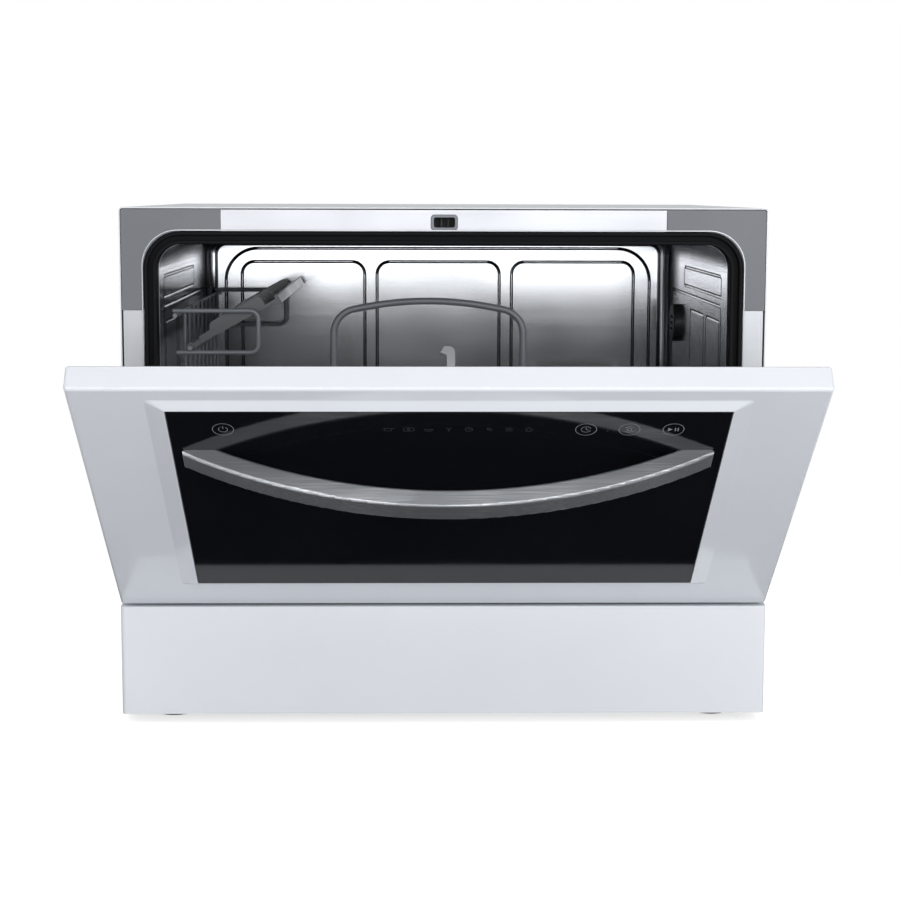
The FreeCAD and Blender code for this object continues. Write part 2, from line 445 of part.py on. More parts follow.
# Sizes and places that follow from the driving dimensions. Cabinet pieces are measured from the middle
# of the kick plate's face (x across, y to the back) and from the table (z up). Door pieces are measured
# across the door (x), back from its face (y) and up from its lower edge (z).
FOLLOW = {
    "cabinet_half": "cabinet_width / 2",
    "cabinet_back": "cabinet_depth - door_proud",
    "kick_top": "foot_height + kick_height",
    "door_foot": "kick_top + door_gap",
    "door_height": "cabinet_height - door_foot - door_top_gap",
    "hinge_place": "hinge_inset - door_proud",
    "hinge_up": "door_foot + hinge_rise",
    "front_most": "hinge_place + (door_edge_round - hinge_inset) * cos(door_rest_angle)"
                  " - (door_height - door_edge_round - hinge_rise) * sin(door_rest_angle) - door_edge_round",
    "front_shift": "-(front_most + cabinet_back + inlet_reach) / 2",
    "door_shift": "front_shift + hinge_place - hinge_inset * cos(door_rest_angle)"
                  " + hinge_rise * sin(door_rest_angle)",
    "door_lift": "hinge_up - hinge_inset * sin(door_rest_angle) - hinge_rise * cos(door_rest_angle)",
    "pan_half": "cabinet_half - panel_sheet",
    "pan_inner": "pan_half - pan_wall",
    "pan_back": "cabinet_back - 2 * panel_sheet",
    "pan_floor": "foot_height + pan_wall",
    "pan_rim": "mouth_base - tub_sheet - fit_gap",
    "upright_place": "frame_setback + pan_setback",
    "upright_inner": "upright_place + pan_wall",
    "rail_place": "bore_half - rail_inset",
    "mouth_half": "cabinet_half - mouth_side",
    "mouth_base": "door_foot + mouth_rise",
    "mouth_top": "cabinet_height - mouth_drop",
    "bore_half": "mouth_half - gasket_band",
    "bore_low": "mouth_base + gasket_band",
    "bore_high": "mouth_top - gasket_band",
    "bore_round": "mouth_corner - gasket_band",
    "step_place": "frame_setback + collar_depth",
    "tub_back": "cabinet_back - tub_room",
    "tub_under": "bore_low - tub_sheet",
    "dish_place": "tub_back - tub_back_round - dish_land",
    "flange_half": "pan_half - flange_side",
    "flange_top": "cabinet_height - panel_sheet - flange_drop",
    "flange_base": "door_foot + flange_rise",
    "bracket_in": "pan_inner - hinge_plate",
    "hinge_arm_out": "pan_inner - 2 * hinge_plate",
    "hinge_arm_in": "pan_inner - 3 * hinge_plate",
    "back_bead_half": "bore_half - back_bead_side",
    "back_bead_top": "bore_high - back_bead_drop",
    "back_bead_base": "bore_low + back_bead_rise",
    "back_panel_width": "2 * (back_bead_half - back_panel_side - back_panel_gap) / 3",
    "back_panel_pitch": "back_panel_width + back_panel_gap",
    "side_bead_front": "step_place + side_bead_start",
    "side_bead_back": "tub_back - side_bead_end",
    "side_bead_base": "bore_low + side_bead_rise",
    "side_upper_top": "bore_high - side_upper_drop",
    "side_upper_base": "side_upper_top - side_upper_tall",
    "side_bead_top": "side_upper_base - side_upper_gap",
    "side_upper_back": "tub_back - side_upper_end",
    "side_press_base": "side_bead_base + side_press_rise",
    "side_press_top": "side_bead_top - side_press_drop",
    "side_press_back": "tub_back - side_press_split",
    "side_press_far": "tub_back - side_press_end",
    "latch_height": "mouth_top + latch_rise",
    "latch_half": "latch_width / 2",
    "latch_low": "latch_height - latch_tall / 2",
    "latch_high": "latch_height + latch_tall / 2",
    "glass_half": "cabinet_half - glass_side",
    "glass_top": "door_height - glass_head",
    "glass_face": "0 - glass_proud",
    "glass_rear": "glass_face + glass_thick",
    "handle_half": "glass_half - handle_inset",
    "handle_base": "glass_top - handle_drop",
    "liner_half": "cabinet_half - liner_side",
    "liner_top": "door_height - liner_head",
    "liner_rear": "door_edge_depth + liner_sheet",
    "dispenser_half": "dispenser_width / 2",
    "dispenser_top": "board_base - dispenser_drop",
    "dispenser_base": "dispenser_top - dispenser_height",
    "dispenser_middle": "dispenser_top - dispenser_height / 2",
    "dispenser_face": "liner_face + dispenser_plate",
    "cup_place": "-dispenser_width / 4",
    "cap_place": "dispenser_half - cap_radius - cap_edge",
    "lid_left": "cup_place - cup_wide / 2 - lid_lap",
    "lid_right": "cup_place + cup_wide / 2 + lid_lap",
    "lid_low": "dispenser_middle - cup_tall / 2 - lid_lap",
    "lid_high": "dispenser_middle + cup_tall / 2 + lid_lap",
    "board_half": "glass_half - board_side",
    "board_top": "glass_top - glass_ledge - board_drop",
    "board_base": "board_top - board_height",
    "board_rear": "glass_rear + board_stand + board_thick",
    "inlet_place": "pan_half - inlet_inset",
    "drain_place": "port_side + drain_offset",
    "gland_place": "pan_half - gland_inset",
    "arm_place": "(step_place + tub_back) / 2 + arm_shift",
    "arm_reach": "(tub_back - step_place) / 2 - arm_clear",
    "arm_base": "bore_low + arm_lift",
    "arm_crown": "arm_base + arm_thick",
    "riser_top": "arm_base + riser_stand",
    "sump_bowl": "sump_radius - sump_step",
    "sump_base": "tub_under - sump_depth",
    "sump_port": "sump_base + sump_port_rise",
    "front_port": "arm_place - sump_radius + port_front",
    "pump_case": "(front_port - upright_inner - pump_room) / 2",
    "pump_place": "upright_inner + pump_front + pump_case",
    "motor_radius": "pump_case - motor_step",
    "motor_run": "rail_place - motor_gap - port_side - pump_case_half",
    "drain_pump_place": "front_port - drain_stand",
    "back_port": "arm_place + sump_radius + port_tail",
    "strainer_place": "arm_place - strainer_offset",
    "strainer_base": "bore_low - strainer_depth",
    "cap_seat": "bore_low + turn_gap",
    "salt_side": "bore_half - salt_inset",
    "salt_place": "tub_back - salt_room",
    "salt_foot": "tub_under - salt_neck_run",
    "tank_inner": "drain_place + drain_radius + tank_clear",
    "hose_place": "pan_back - hose_room",
    "tank_side": "bore_half + tub_sheet + tank_gap",
    "hose_side": "tank_side + tank_wide / 2",
    "tank_base": "vent_height - tank_drop",
    "vent_place": "tub_back - vent_room",
    "vent_height": "bore_high - vent_drop",
    "basket_half": "bore_half - basket_side",
    "basket_front": "step_place + basket_start",
    "basket_back": "tub_back - basket_room",
    "rim_height": "bore_low + rim_rise",
    "grid_height": "bore_low + grid_rise",
    "arch_peak": "bore_high - arch_drop",
    "shelf_front": "step_place + shelf_start",
    "shelf_back": "tub_back - shelf_room",
    "shelf_top": "bore_high - shelf_drop",
    "shelf_base": "shelf_top - shelf_tall",
    "shelf_edge": "bore_half - shelf_reach",
    "flap_axis": "bore_half - flap_inset",
    "flap_front": "shelf_front + flap_end",
    "flap_back": "shelf_back - flap_end",
    "wheel_side": "bore_half - wheel_inset",
    "axle_height": "bore_low + wheel_radius + wheel_lift",
    "rack_right": "basket_half - rack_inset",
    "rack_left": "rack_right - rack_width",
    "rack_back": "basket_back - rack_room",
    "rack_front": "rack_back - rack_depth",
    "rack_base": "grid_height + 3 * grid_wire - weld_sink",
    "rack_top": "rack_base + rack_height",
}

doc = FreeCAD.newDocument("dishwasher")
dim = doc.addObject("Spreadsheet::Sheet", "dim")
for row, (alias, value, note) in enumerate(SIZES, start=1):
    dim.set("A%d" % row, alias)
    dim.set("B%d" % row, str(value))
    dim.setAlias("B%d" % row, alias)
    dim.set("C%d" % row, note)
doc.recompute()

ALIASES = {alias for alias, _, _ in SIZES}
NODES = []

# Slack in millimetres when an edge is picked by its place.
EDGE_SLACK = 0.02


def ex(text):
    """The text as an expression on the sheet: names that follow from others are written out."""

    def spell(match):
        name = match.group()
        if name in FOLLOW:
            return "(%s)" % ex(FOLLOW[name])
        return "dim." + name if name in ALIASES else name

    return re.sub(r"[a-z]+(?:_[a-z]+)+", spell, str(text))


def num(text):
    """The value that an expression has now."""
    return float(dim.evalExpression(ex(text)))


def bind(item, prop, text):
    """Bind a property to an expression on the sheet."""
    item.setExpression(prop, ex(text))


def node(item, label):
    """Keep an object as one named piece of the assembly."""
    item.Label = label
    NODES.append(item)
    return item


def body_at(label, y_text, z_text="0", angle=None):
    """A new body that is one piece, placed by expressions and turned about X."""
    body = node(doc.addObject("PartDesign::Body", label), label)
    if angle:
        body.Placement = FreeCAD.Placement(V(), FreeCAD.Rotation(V(1, 0, 0), num(angle)))
        bind(body, "Placement.Rotation.Angle", angle)
    bind(body, "Placement.Base.y", y_text)
    bind(body, "Placement.Base.z", z_text)
    return body


def cabinet_body(label):
    """A piece measured in the cabinet's own frame."""
    return body_at(label, "front_shift")


def door_body(label):
    """A piece measured in the door's own frame, opened with the door."""
    return body_at(label, "door_shift", "door_lift", "door_rest_angle")


def origin_item(body, role):
    """A plane or an axis of the body's origin."""
    return next(item for item in body.Origin.OriginFeatures if item.Role == role)


def sketch_on(body, plane, at):
    """A sketch on the XY, XZ or YZ plane, moved to a place along the plane's axis."""
    sketch = body.newObject("Sketcher::SketchObject", "profile")
    sketch.AttachmentSupport = [(origin_item(body, plane + "_Plane"), "")]
    sketch.MapMode = "FlatFace"
    bind(sketch, "AttachmentOffset.Base.z", "%d * (%s)" % (-1 if plane == "XZ" else 1, at))
    return sketch


def rect(x_low, x_high, y_low, y_high, radius=None):
    """Corners of a rectangle, rounded when a radius is given."""
    corners = ((x_low, y_low), (x_high, y_low), (x_high, y_high), (x_low, y_high))
    return [(x, y, radius) for x, y in corners]


def wide_rect(half, low, high, radius=None):
    """Corners of a rectangle that is even about the middle."""
    return rect("-(%s)" % half, half, low, high, radius)


def disc(x, y, radius):
    """A round outline."""
    return {"centre": (x, y), "radius": radius}


def constrain(sketch, kind, *args):
    """Add a dimension whose last argument is an expression."""
    index = sketch.addConstraint(Sketcher.Constraint(kind, *args[:-1], num(args[-1])))
    bind(sketch, "Constraints[%d]" % index, args[-1])


def pin_point(sketch, geometry, position, x, y):
    """Hold a point of the sketch at two expressions."""
    constrain(sketch, "DistanceX", -1, 1, geometry, position, x)
    constrain(sketch, "DistanceY", -1, 1, geometry, position, y)


def arc_between(start, end, radius, left_turn):
    """The shorter arc from start to end; left_turn when it runs anticlockwise."""
    middle = (start + end) * 0.5
    chord = end - start
    height = math.sqrt(max(radius * radius - chord.Length ** 2 / 4, 0.0))
    across = V(-chord.y, chord.x, 0).normalize() * (height if left_turn else -height)
    centre = middle + across
    first, last = (start, end) if left_turn else (end, start)
    angles = [math.atan2(p.y - centre.y, p.x - centre.x) for p in (first, last)]
    if angles[1] < angles[0]:
        angles[1] += 2 * math.pi
    return Part.ArcOfCircle(Part.Circle(centre, V(0, 0, 1), radius), angles[0], angles[1])


def trace(sketch, points, arcs):
    """A closed outline through points, with arcs as {edge: (radius, left_turn)}."""
    spots = [V(num(x), num(y), 0) for x, y in points]
    count = len(points)
    ends = []
    for i in range(count):
        start, end = spots[i], spots[(i + 1) % count]
        if i in arcs:
            radius, left_turn = arcs[i]
            geometry = sketch.addGeometry(arc_between(start, end, num(radius), left_turn))
            ends.append((geometry, 1, 2) if left_turn else (geometry, 2, 1))
        else:
            ends.append((sketch.addGeometry(Part.LineSegment(start, end)), 1, 2))
    for i in range(count):
        geometry, first, last = ends[i]
        following, following_first, _ = ends[(i + 1) % count]
        sketch.addConstraint(Sketcher.Constraint("Coincident", geometry, last, following, following_first))
        pin_point(sketch, geometry, first, *points[i])
        if i in arcs:
            constrain(sketch, "Radius", geometry, arcs[i][0])


def outline(sketch, corners):
    """A closed outline with square corners, of which those with a radius are rounded."""
    spots = [V(num(c[0]), num(c[1]), 0) for c in corners]
    points, arcs = [], {}
    for i, corner in enumerate(corners):
        x, y = corner[0], corner[1]
        radius = corner[2] if len(corner) > 2 else None
        if radius is None:
            points.append((x, y))
            continue
        here = spots[i]
        come = (spots[i - 1] - here).normalize()
        leave = (spots[(i + 1) % len(spots)] - here).normalize()
        for way in (come, leave):
            points.append(
                ("(%s) + (%d) * (%s)" % (x, round(way.x), radius),
                 "(%s) + (%d) * (%s)" % (y, round(way.y), radius))
            )
        arcs[len(points) - 2] = (radius, come.cross(leave).z < 0)
    trace(sketch, points, arcs)


def draw(sketch, *loops):
    """Draw each loop: corners, or a disc."""
    for loop in loops:
        if isinstance(loop, dict):
            centre, radius = loop["centre"], loop["radius"]
            middle = V(num(centre[0]), num(centre[1]), 0)
            geometry = sketch.addGeometry(Part.Circle(middle, V(0, 0, 1), num(radius)))
            pin_point(sketch, geometry, 3, *centre)
            constrain(sketch, "Radius", geometry, radius)
        else:
            outline(sketch, loop)
    return sketch


def prism(body, kind, plane, start, end, sketch):
    """Add or cut a straight run of a sketch from start to end along the plane's axis."""
    feature = body.newObject("PartDesign::" + kind, kind.lower())
    feature.Profile = sketch
    bind(feature, "Length", "abs((%s) - (%s))" % (end, start))
    along = (num(end) > num(start)) == (plane != "XZ")
    feature.Reversed = along if kind == "Pocket" else not along
    return feature


def pad(body, plane, start, end, *loops):
    """Material from start to end inside the loops."""
    return prism(body, "Pad", plane, start, end, draw(sketch_on(body, plane, start), *loops))


def cut(body, plane, start, end, *loops):
    """A hollow from start to end inside the loops."""
    return prism(body, "Pocket", plane, start, end, draw(sketch_on(body, plane, start), *loops))


def revolve(body, plane, at, points, kind="Revolution"):
    """A turned shape about the sketch's upright axis."""
    sketch = sketch_on(body, plane, at)
    trace(sketch, points, {})
    feature = body.newObject("PartDesign::" + kind, kind.lower())
    feature.Profile = sketch
    feature.ReferenceAxis = (sketch, ["V_Axis"])
    feature.Angle = 360
    return feature


def level(axis, text):
    """A test for edges that lie flat at one place along an axis."""
    value = num(text)

    def test(edge):
        box = edge.BoundBox
        low, high = getattr(box, axis + "Min"), getattr(box, axis + "Max")
        return abs(low - value) < EDGE_SLACK and abs(high - value) < EDGE_SLACK

    return test


def within(axis, low, high):
    """A test for edges that lie between two places along an axis."""
    low, high = num(low), num(high)
    return lambda edge: (
        getattr(edge.BoundBox, axis + "Min") > low - EDGE_SLACK
        and getattr(edge.BoundBox, axis + "Max") < high + EDGE_SLACK
    )


def soften(body, size, *tests, kind="Fillet"):
    """Round or chamfer the edges that pass every test."""
    doc.recompute()
    base = body.Tip
    names = [
        "Edge%d" % (i + 1) for i, edge in enumerate(base.Shape.Edges) if all(test(edge) for test in tests)
    ]
    feature = body.newObject("PartDesign::" + kind, kind.lower())
    feature.Base = (base, names)
    bind(feature, "Radius" if kind == "Fillet" else "Size", size)
    return feature


def block(x, y, z):
    """A box between low and high expressions on each axis of the cabinet's frame."""
    item = doc.addObject("Part::Box", "block")
    for prop, (low, high) in zip(("Length", "Width", "Height"), (x, y, z)):
        bind(item, prop, "(%s) - (%s)" % (high, low))
    for axis, (low, _) in zip("xyz", (x, y, z)):
        bind(item, "Placement.Base." + axis, "%s + front_shift" % low if axis == "y" else low)
    return item


def drum(label, axis, start, radius, length):
    """A cylinder that runs up an axis of the cabinet's frame from a start point."""
    way = {"x": V(1, 0, 0), "y": V(0, 1, 0), "z": V(0, 0, 1)}[axis]
    item = doc.addObject("Part::Cylinder", label)
    item.Placement = FreeCAD.Placement(V(), FreeCAD.Rotation(V(0, 0, 1), way))
    bind(item, "Radius", radius)
    bind(item, "Height", length)
    for name, text in zip("xyz", start):
        bind(item, "Placement.Base." + name, "%s + front_shift" % text if name == "y" else text)
    return item


def fuse(label, *items):
    """Several shapes grown into one."""
    item = doc.addObject("Part::MultiFuse", label)
    item.Shapes = list(items)
    return item


def drill(label, base, tool):
    """A shape with another taken out of it."""
    item = doc.addObject("Part::Cut", label)
    item.Base = base
    item.Tool = tool
    return item


def group(label, items):
    """Identical solids kept together as one piece of the list."""
    item = doc.addObject("Part::Compound", label)
    item.Links = items
    return node(item, label)


def bead(body, plane, face, inward, loop):
    """Press a rounded bead along a loop into a wall; inward points into the tub along the plane's axis."""
    centre = "(%s) + (%d) * (bead_radius - bead_depth)" % (face, inward)
    path = sketch_on(body, plane, centre)
    (x_low, y_low, radius), (x_high, _, _), (_, y_high, _), _ = loop
    middle = "((%s) + (%s)) / 2" % (x_low, x_high)
    spots = ((x_high, y_low), (x_high, y_high), (x_low, y_high), (x_low, y_low))
    outline(path, [(middle, y_low)] + [(x, y, radius) for x, y in spots])
    across = "YZ" if plane == "XZ" else "XZ"
    ring = sketch_on(body, across, middle)
    draw(ring, disc(centre, y_low, "bead_radius"))
    feature = body.newObject("PartDesign::SubtractivePipe", "bead")
    feature.Profile = ring
    feature.Spine = path
    feature.Transition = "Transformed"
    return feature


def open_path(sketch, points, arcs):
    """An open line through points, with arcs as {edge: (radius, left_turn)}."""
    spots = [V(num(x), num(y), 0) for x, y in points]
    previous = None
    for i, (start, end) in enumerate(zip(spots, spots[1:])):
        if i in arcs:
            radius, left_turn = arcs[i]
            geometry = sketch.addGeometry(arc_between(start, end, num(radius), left_turn))
            first, last = (1, 2) if left_turn else (2, 1)
            constrain(sketch, "Radius", geometry, radius)
        else:
            geometry = sketch.addGeometry(Part.LineSegment(start, end))
            first, last = 1, 2
        if previous:
            sketch.addConstraint(Sketcher.Constraint("Coincident", *previous, geometry, first))
        pin_point(sketch, geometry, first, *points[i])
        previous = (geometry, last)
    pin_point(sketch, *previous, *points[-1])


def wire_tube(points, radius, bends, closed=False):
    """A round wire along points, bent at corners as {corner: bend radius}."""
    spots = [V(*p) for p in points]
    count = len(spots)
    cuts = {}
    for i, bend in bends.items():
        here = spots[i]
        come = (spots[i - 1] - here).normalize()
        leave = (spots[(i + 1) % count] - here).normalize()
        half = come.getAngle(leave) / 2
        back = bend / math.tan(half)
        middle = here + (come + leave).normalize() * (bend / math.sin(half) - bend)
        cuts[i] = (here + come * back, middle, here + leave * back)
    edges = []
    for i in range(count if closed else count - 1):
        following = (i + 1) % count
        start = cuts[i][2] if i in cuts else spots[i]
        end = cuts[following][0] if following in cuts else spots[following]
        if (end - start).Length > 1e-6:
            edges.append(Part.makeLine(start, end))
        if following in cuts:
            edges.append(Part.Arc(*cuts[following]).toShape())
    path = Part.Wire(edges)
    first = edges[0]
    way = first.tangentAt(first.FirstParameter)
    ring = Part.Wire(Part.makeCircle(radius, first.valueAt(first.FirstParameter), way))
    tube = path.makePipeShell([ring], not closed, False)
    return Part.makeSolid(tube) if tube.ShapeType == "Shell" else tube


def rod(start, end, radius):
    """A straight round wire."""
    way = V(*end) - V(*start)
    return Part.makeCylinder(radius, way.Length, V(*start), way)


def wire_node(label, solids):
    """Wires kept as one piece, placed in the cabinet's frame."""
    item = doc.addObject("Part::Feature", label)
    item.Shape = solids[0] if len(solids) == 1 else Part.Compound(solids)
    item.Placement = FreeCAD.Placement(V(0, num("front_shift"), 0), FreeCAD.Rotation())
    return node(item, label)


def spread(low, high, count):
    """Even places from low to high."""
    return [low + (high - low) * i / (count - 1) for i in range(count)]


def places(low, high, count):
    """Even places from low to high, as expressions."""
    last = int(num(count)) - 1
    return ["%s + (%s - (%s)) * %d / %d" % (low, high, low, i, last) for i in range(last + 1)]


def make_panels():
    """The painted outer panels of the cabinet."""
    low = "(cabinet_height - top_skirt)"
    inner = "(cabinet_height - panel_sheet)"
    front = "(frame_setback - panel_lap)"
    top = cabinet_body("top_panel")
    pad(top, "XZ", front, "cabinet_back", [
        ("-cabinet_half", low), ("-cabinet_half", "cabinet_height", "panel_bend"),
        ("cabinet_half", "cabinet_height", "panel_bend"), ("cabinet_half", low), ("pan_half", low),
        ("pan_half", inner, "panel_bend - panel_sheet"), ("-pan_half", inner, "panel_bend - panel_sheet"),
        ("-pan_half", low),
    ])
    pad(top, "XZ", "cabinet_back - panel_sheet", "cabinet_back", wide_rect("pan_half", low, inner))

    step = "(kick_top - panel_sheet)"
    start = "kick_return + 2 * fit_gap"
    high = "(%s - fit_gap)" % low
    for side, label in ((-1, "left_side_panel"), (1, "right_side_panel")):
        panel = cabinet_body(label)
        pad(panel, "YZ", "%d * pan_half" % side, "%d * cabinet_half" % side, [
            (start, "foot_height"), ("cabinet_back", "foot_height"), ("cabinet_back", high), (front, high),
            (front, step), (start, step),
        ])

    rear = cabinet_body("back_panel")
    pad(rear, "XZ", "pan_back", "cabinet_back - panel_sheet", wide_rect(
        "pan_half - fit_gap", "back_panel_base", "%s - fit_gap" % inner, "back_panel_corner"))
    slot = cut(rear, "XZ", "pan_back - cut_over", "cabinet_back", wide_rect(
        "louvre_half", "louvre_base", "louvre_base + louvre_tall", "louvre_round"))
    louvres = rear.newObject("PartDesign::LinearPattern", "louvres")
    louvres.Originals = [slot]
    louvres.Direction = (origin_item(rear, "Z_Axis"), [""])
    bind(louvres, "Length", "vent_pitch * (vent_slots - 1)")
    bind(louvres, "Occurrences", "vent_slots")
    rear.Tip = louvres

    kick = cabinet_body("kick_plate")
    face = [("-cabinet_half", "kick_return"), ("-cabinet_half", "0", "kick_bend"),
            ("cabinet_half", "0", "kick_bend"), ("cabinet_half", "kick_return")]
    pad(kick, "XY", "foot_height", "kick_top", face + [
        ("pan_half", "kick_return"), ("pan_half", "panel_sheet", "kick_bend - panel_sheet"),
        ("-pan_half", "panel_sheet", "kick_bend - panel_sheet"), ("-pan_half", "kick_return"),
    ])
    pad(kick, "XY", "kick_top - panel_sheet", "kick_top", face)


def make_base():
    """The moulded base pan with its rails, and the rubber feet below it."""
    pan = cabinet_body("base_pan")
    front = "kick_bend"
    deck = "(kick_top - panel_sheet)"
    above = "pan_rim + cut_over"
    inner_front, inner_back = front + " + pan_wall", "pan_back - pan_wall"
    pad(pan, "YZ", "-pan_half", "pan_half", [
        (front, "foot_height"), ("pan_back", "foot_height"), ("pan_back", "pan_rim"),
        ("upright_place", "pan_rim"), ("upright_place", deck), (front, deck),
    ])
    cut(pan, "YZ", "-pan_inner", "pan_inner", [
        (inner_front, "pan_floor"), (inner_back, "pan_floor"), (inner_back, above),
        ("upright_inner", above), ("upright_inner", deck + " - pan_wall"),
        (inner_front, deck + " - pan_wall"),
    ])
    for side in (-1, 1):
        pad(pan, "YZ", "%d * rail_place" % side, "%d * (rail_place + rail_thick)" % side, rect(
            "frame_setback + rail_start", "dish_place", "pan_floor - sink_in", "tub_under"))
    slots = [
        rect("%d * (bracket_in - slot_gap)" % side, "%d * pan_inner" % side,
             "hinge_up - hinge_arm_height / 2 - notch_room", above)
        for side in (-1, 1)
    ]
    cut(pan, "XZ", "upright_place - cut_over", "upright_inner + slot_gap", *slots)
    cut(pan, "XZ", "pan_back + cut_over", "pan_back - pan_wall - cut_over",
        disc("inlet_place", "port_height", "inlet_radius + port_collar + fit_gap"),
        disc("-drain_place", "port_height", "drain_radius + port_collar + fit_gap"),
        disc("gland_place", "port_height", "gland_radius + fit_gap"))
    stands = [
        (x, y) for x in ("-(pan_half - foot_inset)", "pan_half - foot_inset")
        for y in (front + " + foot_inset", "pan_back - foot_inset")
    ]
    cut(pan, "XY", "foot_height - cut_over", "pan_floor + cut_over",
        *[disc(x, y, "foot_stem + run_clear") for x, y in stands])

    feet = []
    for x, y in stands:
        sole = drum("foot_pad", "z", (x, y, "0"), "foot_radius", "foot_height")
        stem = drum("foot_pin", "z", (x, y, "foot_height - sink_in"), "foot_stem",
                    "pan_wall + foot_reach + sink_in")
        feet.append(fuse("foot", sole, stem))
    group("rubber_feet", feet)


def make_tub():
    """The stainless tub: front frame, roof, floor, pressed walls and dished back."""
    frame = cabinet_body("tub_front_frame")
    mouth = wide_rect("mouth_half", "mouth_base", "mouth_top", "mouth_corner")
    shell = wide_rect("mouth_half + tub_sheet", "mouth_base - tub_sheet", "mouth_top + tub_sheet",
                      "mouth_corner + tub_sheet")
    bore = wide_rect("bore_half", "bore_low", "bore_high", "bore_round")
    face_end = "(frame_setback + tub_sheet)"
    pad(frame, "XZ", "frame_setback", face_end, wide_rect("flange_half", "flange_base", "flange_top"), mouth)
    pad(frame, "XZ", "frame_setback", "step_place", shell, mouth)
    pad(frame, "XZ", "step_place - tub_sheet", "step_place", shell, bore)
    notches = [
        rect("%d * (bracket_in - notch_room)" % side, "%d * (flange_half + cut_over)" % side,
             "flange_base - cut_over", "hinge_up + hinge_arm_height / 2 + notch_room")
        for side in (-1, 1)
    ]
    latch_slot = wide_rect("latch_half - latch_rim", "latch_low + latch_rim", "latch_high - latch_rim",
                           "latch_slot_round")
    cut(frame, "XZ", "frame_setback - cut_over", face_end + " + cut_over", latch_slot, *notches)

    outer_x = "(bore_half + tub_sheet)"
    outer_round = "(bore_round + tub_sheet)"
    roof_seam = "(bore_high - bore_round - wall_seam)"
    floor_seam = "(bore_low + bore_round + wall_seam)"

    def channel(body, seam, inner, outer):
        pad(body, "XZ", "step_place", "dish_place", [
            ("-" + outer_x, seam), ("-" + outer_x, outer, outer_round), (outer_x, outer, outer_round),
            (outer_x, seam), ("bore_half", seam), ("bore_half", inner, "bore_round"),
            ("-bore_half", inner, "bore_round"), ("-bore_half", seam),
        ])

    channel(cabinet_body("tub_roof"), roof_seam, "bore_high", "(bore_high + tub_sheet)")
    floor = cabinet_body("tub_floor")
    channel(floor, floor_seam, "bore_low", "tub_under")
    cut(floor, "XY", "bore_low + cut_over", "tub_under - cut_over",
        disc("0", "arm_place", "sump_radius"), disc("-salt_side", "salt_place", "salt_neck + fit_gap"))

    for side, label in ((-1, "tub_left_wall"), (1, "tub_right_wall")):
        wall = cabinet_body(label)
        face = "%d * bore_half" % side
        pad(wall, "YZ", face, "%d * %s" % (side, outer_x),
            rect("step_place", "dish_place", floor_seam, roof_seam))
        if side > 0:
            cut(wall, "YZ", "bore_half - cut_over", outer_x + " + cut_over",
                disc("vent_place", "vent_height", "vent_neck + fit_gap"))
        for loop in (
            rect("side_bead_front", "side_bead_back", "side_bead_base", "side_bead_top", "side_bead_round"),
            rect("side_bead_front", "side_upper_back", "side_upper_base", "side_upper_top",
                 "side_press_round"),
            rect("side_bead_front + side_press_start", "side_press_back", "side_press_base",
                 "side_press_top", "side_press_round"),
            rect("side_press_back + side_press_gap", "side_press_far", "side_press_base", "side_press_top",
                 "side_press_round"),
        ):
            bead(wall, "YZ", face, -side, loop)

    back = cabinet_body("tub_back_wall")
    pad(back, "XZ", "dish_place", "tub_back + tub_sheet",
        wide_rect(outer_x, "tub_under", "bore_high + tub_sheet", outer_round))
    cut(back, "XZ", "dish_place", "tub_back", bore)
    soften(back, "tub_back_round", level("Y", "tub_back"))
    soften(back, "tub_back_round + tub_sheet", level("Y", "tub_back + tub_sheet"))
    bead(back, "XZ", "tub_back", -1, wide_rect(
        "back_bead_half", "back_bead_base", "back_bead_top", "back_bead_round"))
    for place in (-1, 0, 1):
        bead(back, "XZ", "tub_back", -1, rect(
            "%d * back_panel_pitch - back_panel_width / 2" % place,
            "%d * back_panel_pitch + back_panel_width / 2" % place,
            "back_bead_base + back_panel_drop", "back_bead_top - back_panel_drop", "back_panel_round"))

    gasket = cabinet_body("tub_gasket")
    front = "(frame_setback - gasket_proud)"

    def ring(inset):
        return wide_rect("mouth_half - %s" % inset, "mouth_base + %s" % inset, "mouth_top - %s" % inset,
                         "mouth_corner - %s" % inset)

    pad(gasket, "XZ", front, "step_place - tub_sheet", ring("fit_gap"), ring("(gasket_band - fit_gap)"))
    cut(gasket, "XZ", front, front + " + gasket_lip", ring("(gasket_band - gasket_groove) / 2"),
        ring("(gasket_band + gasket_groove) / 2"))
    soften(gasket, "gasket_round", level("Y", front))


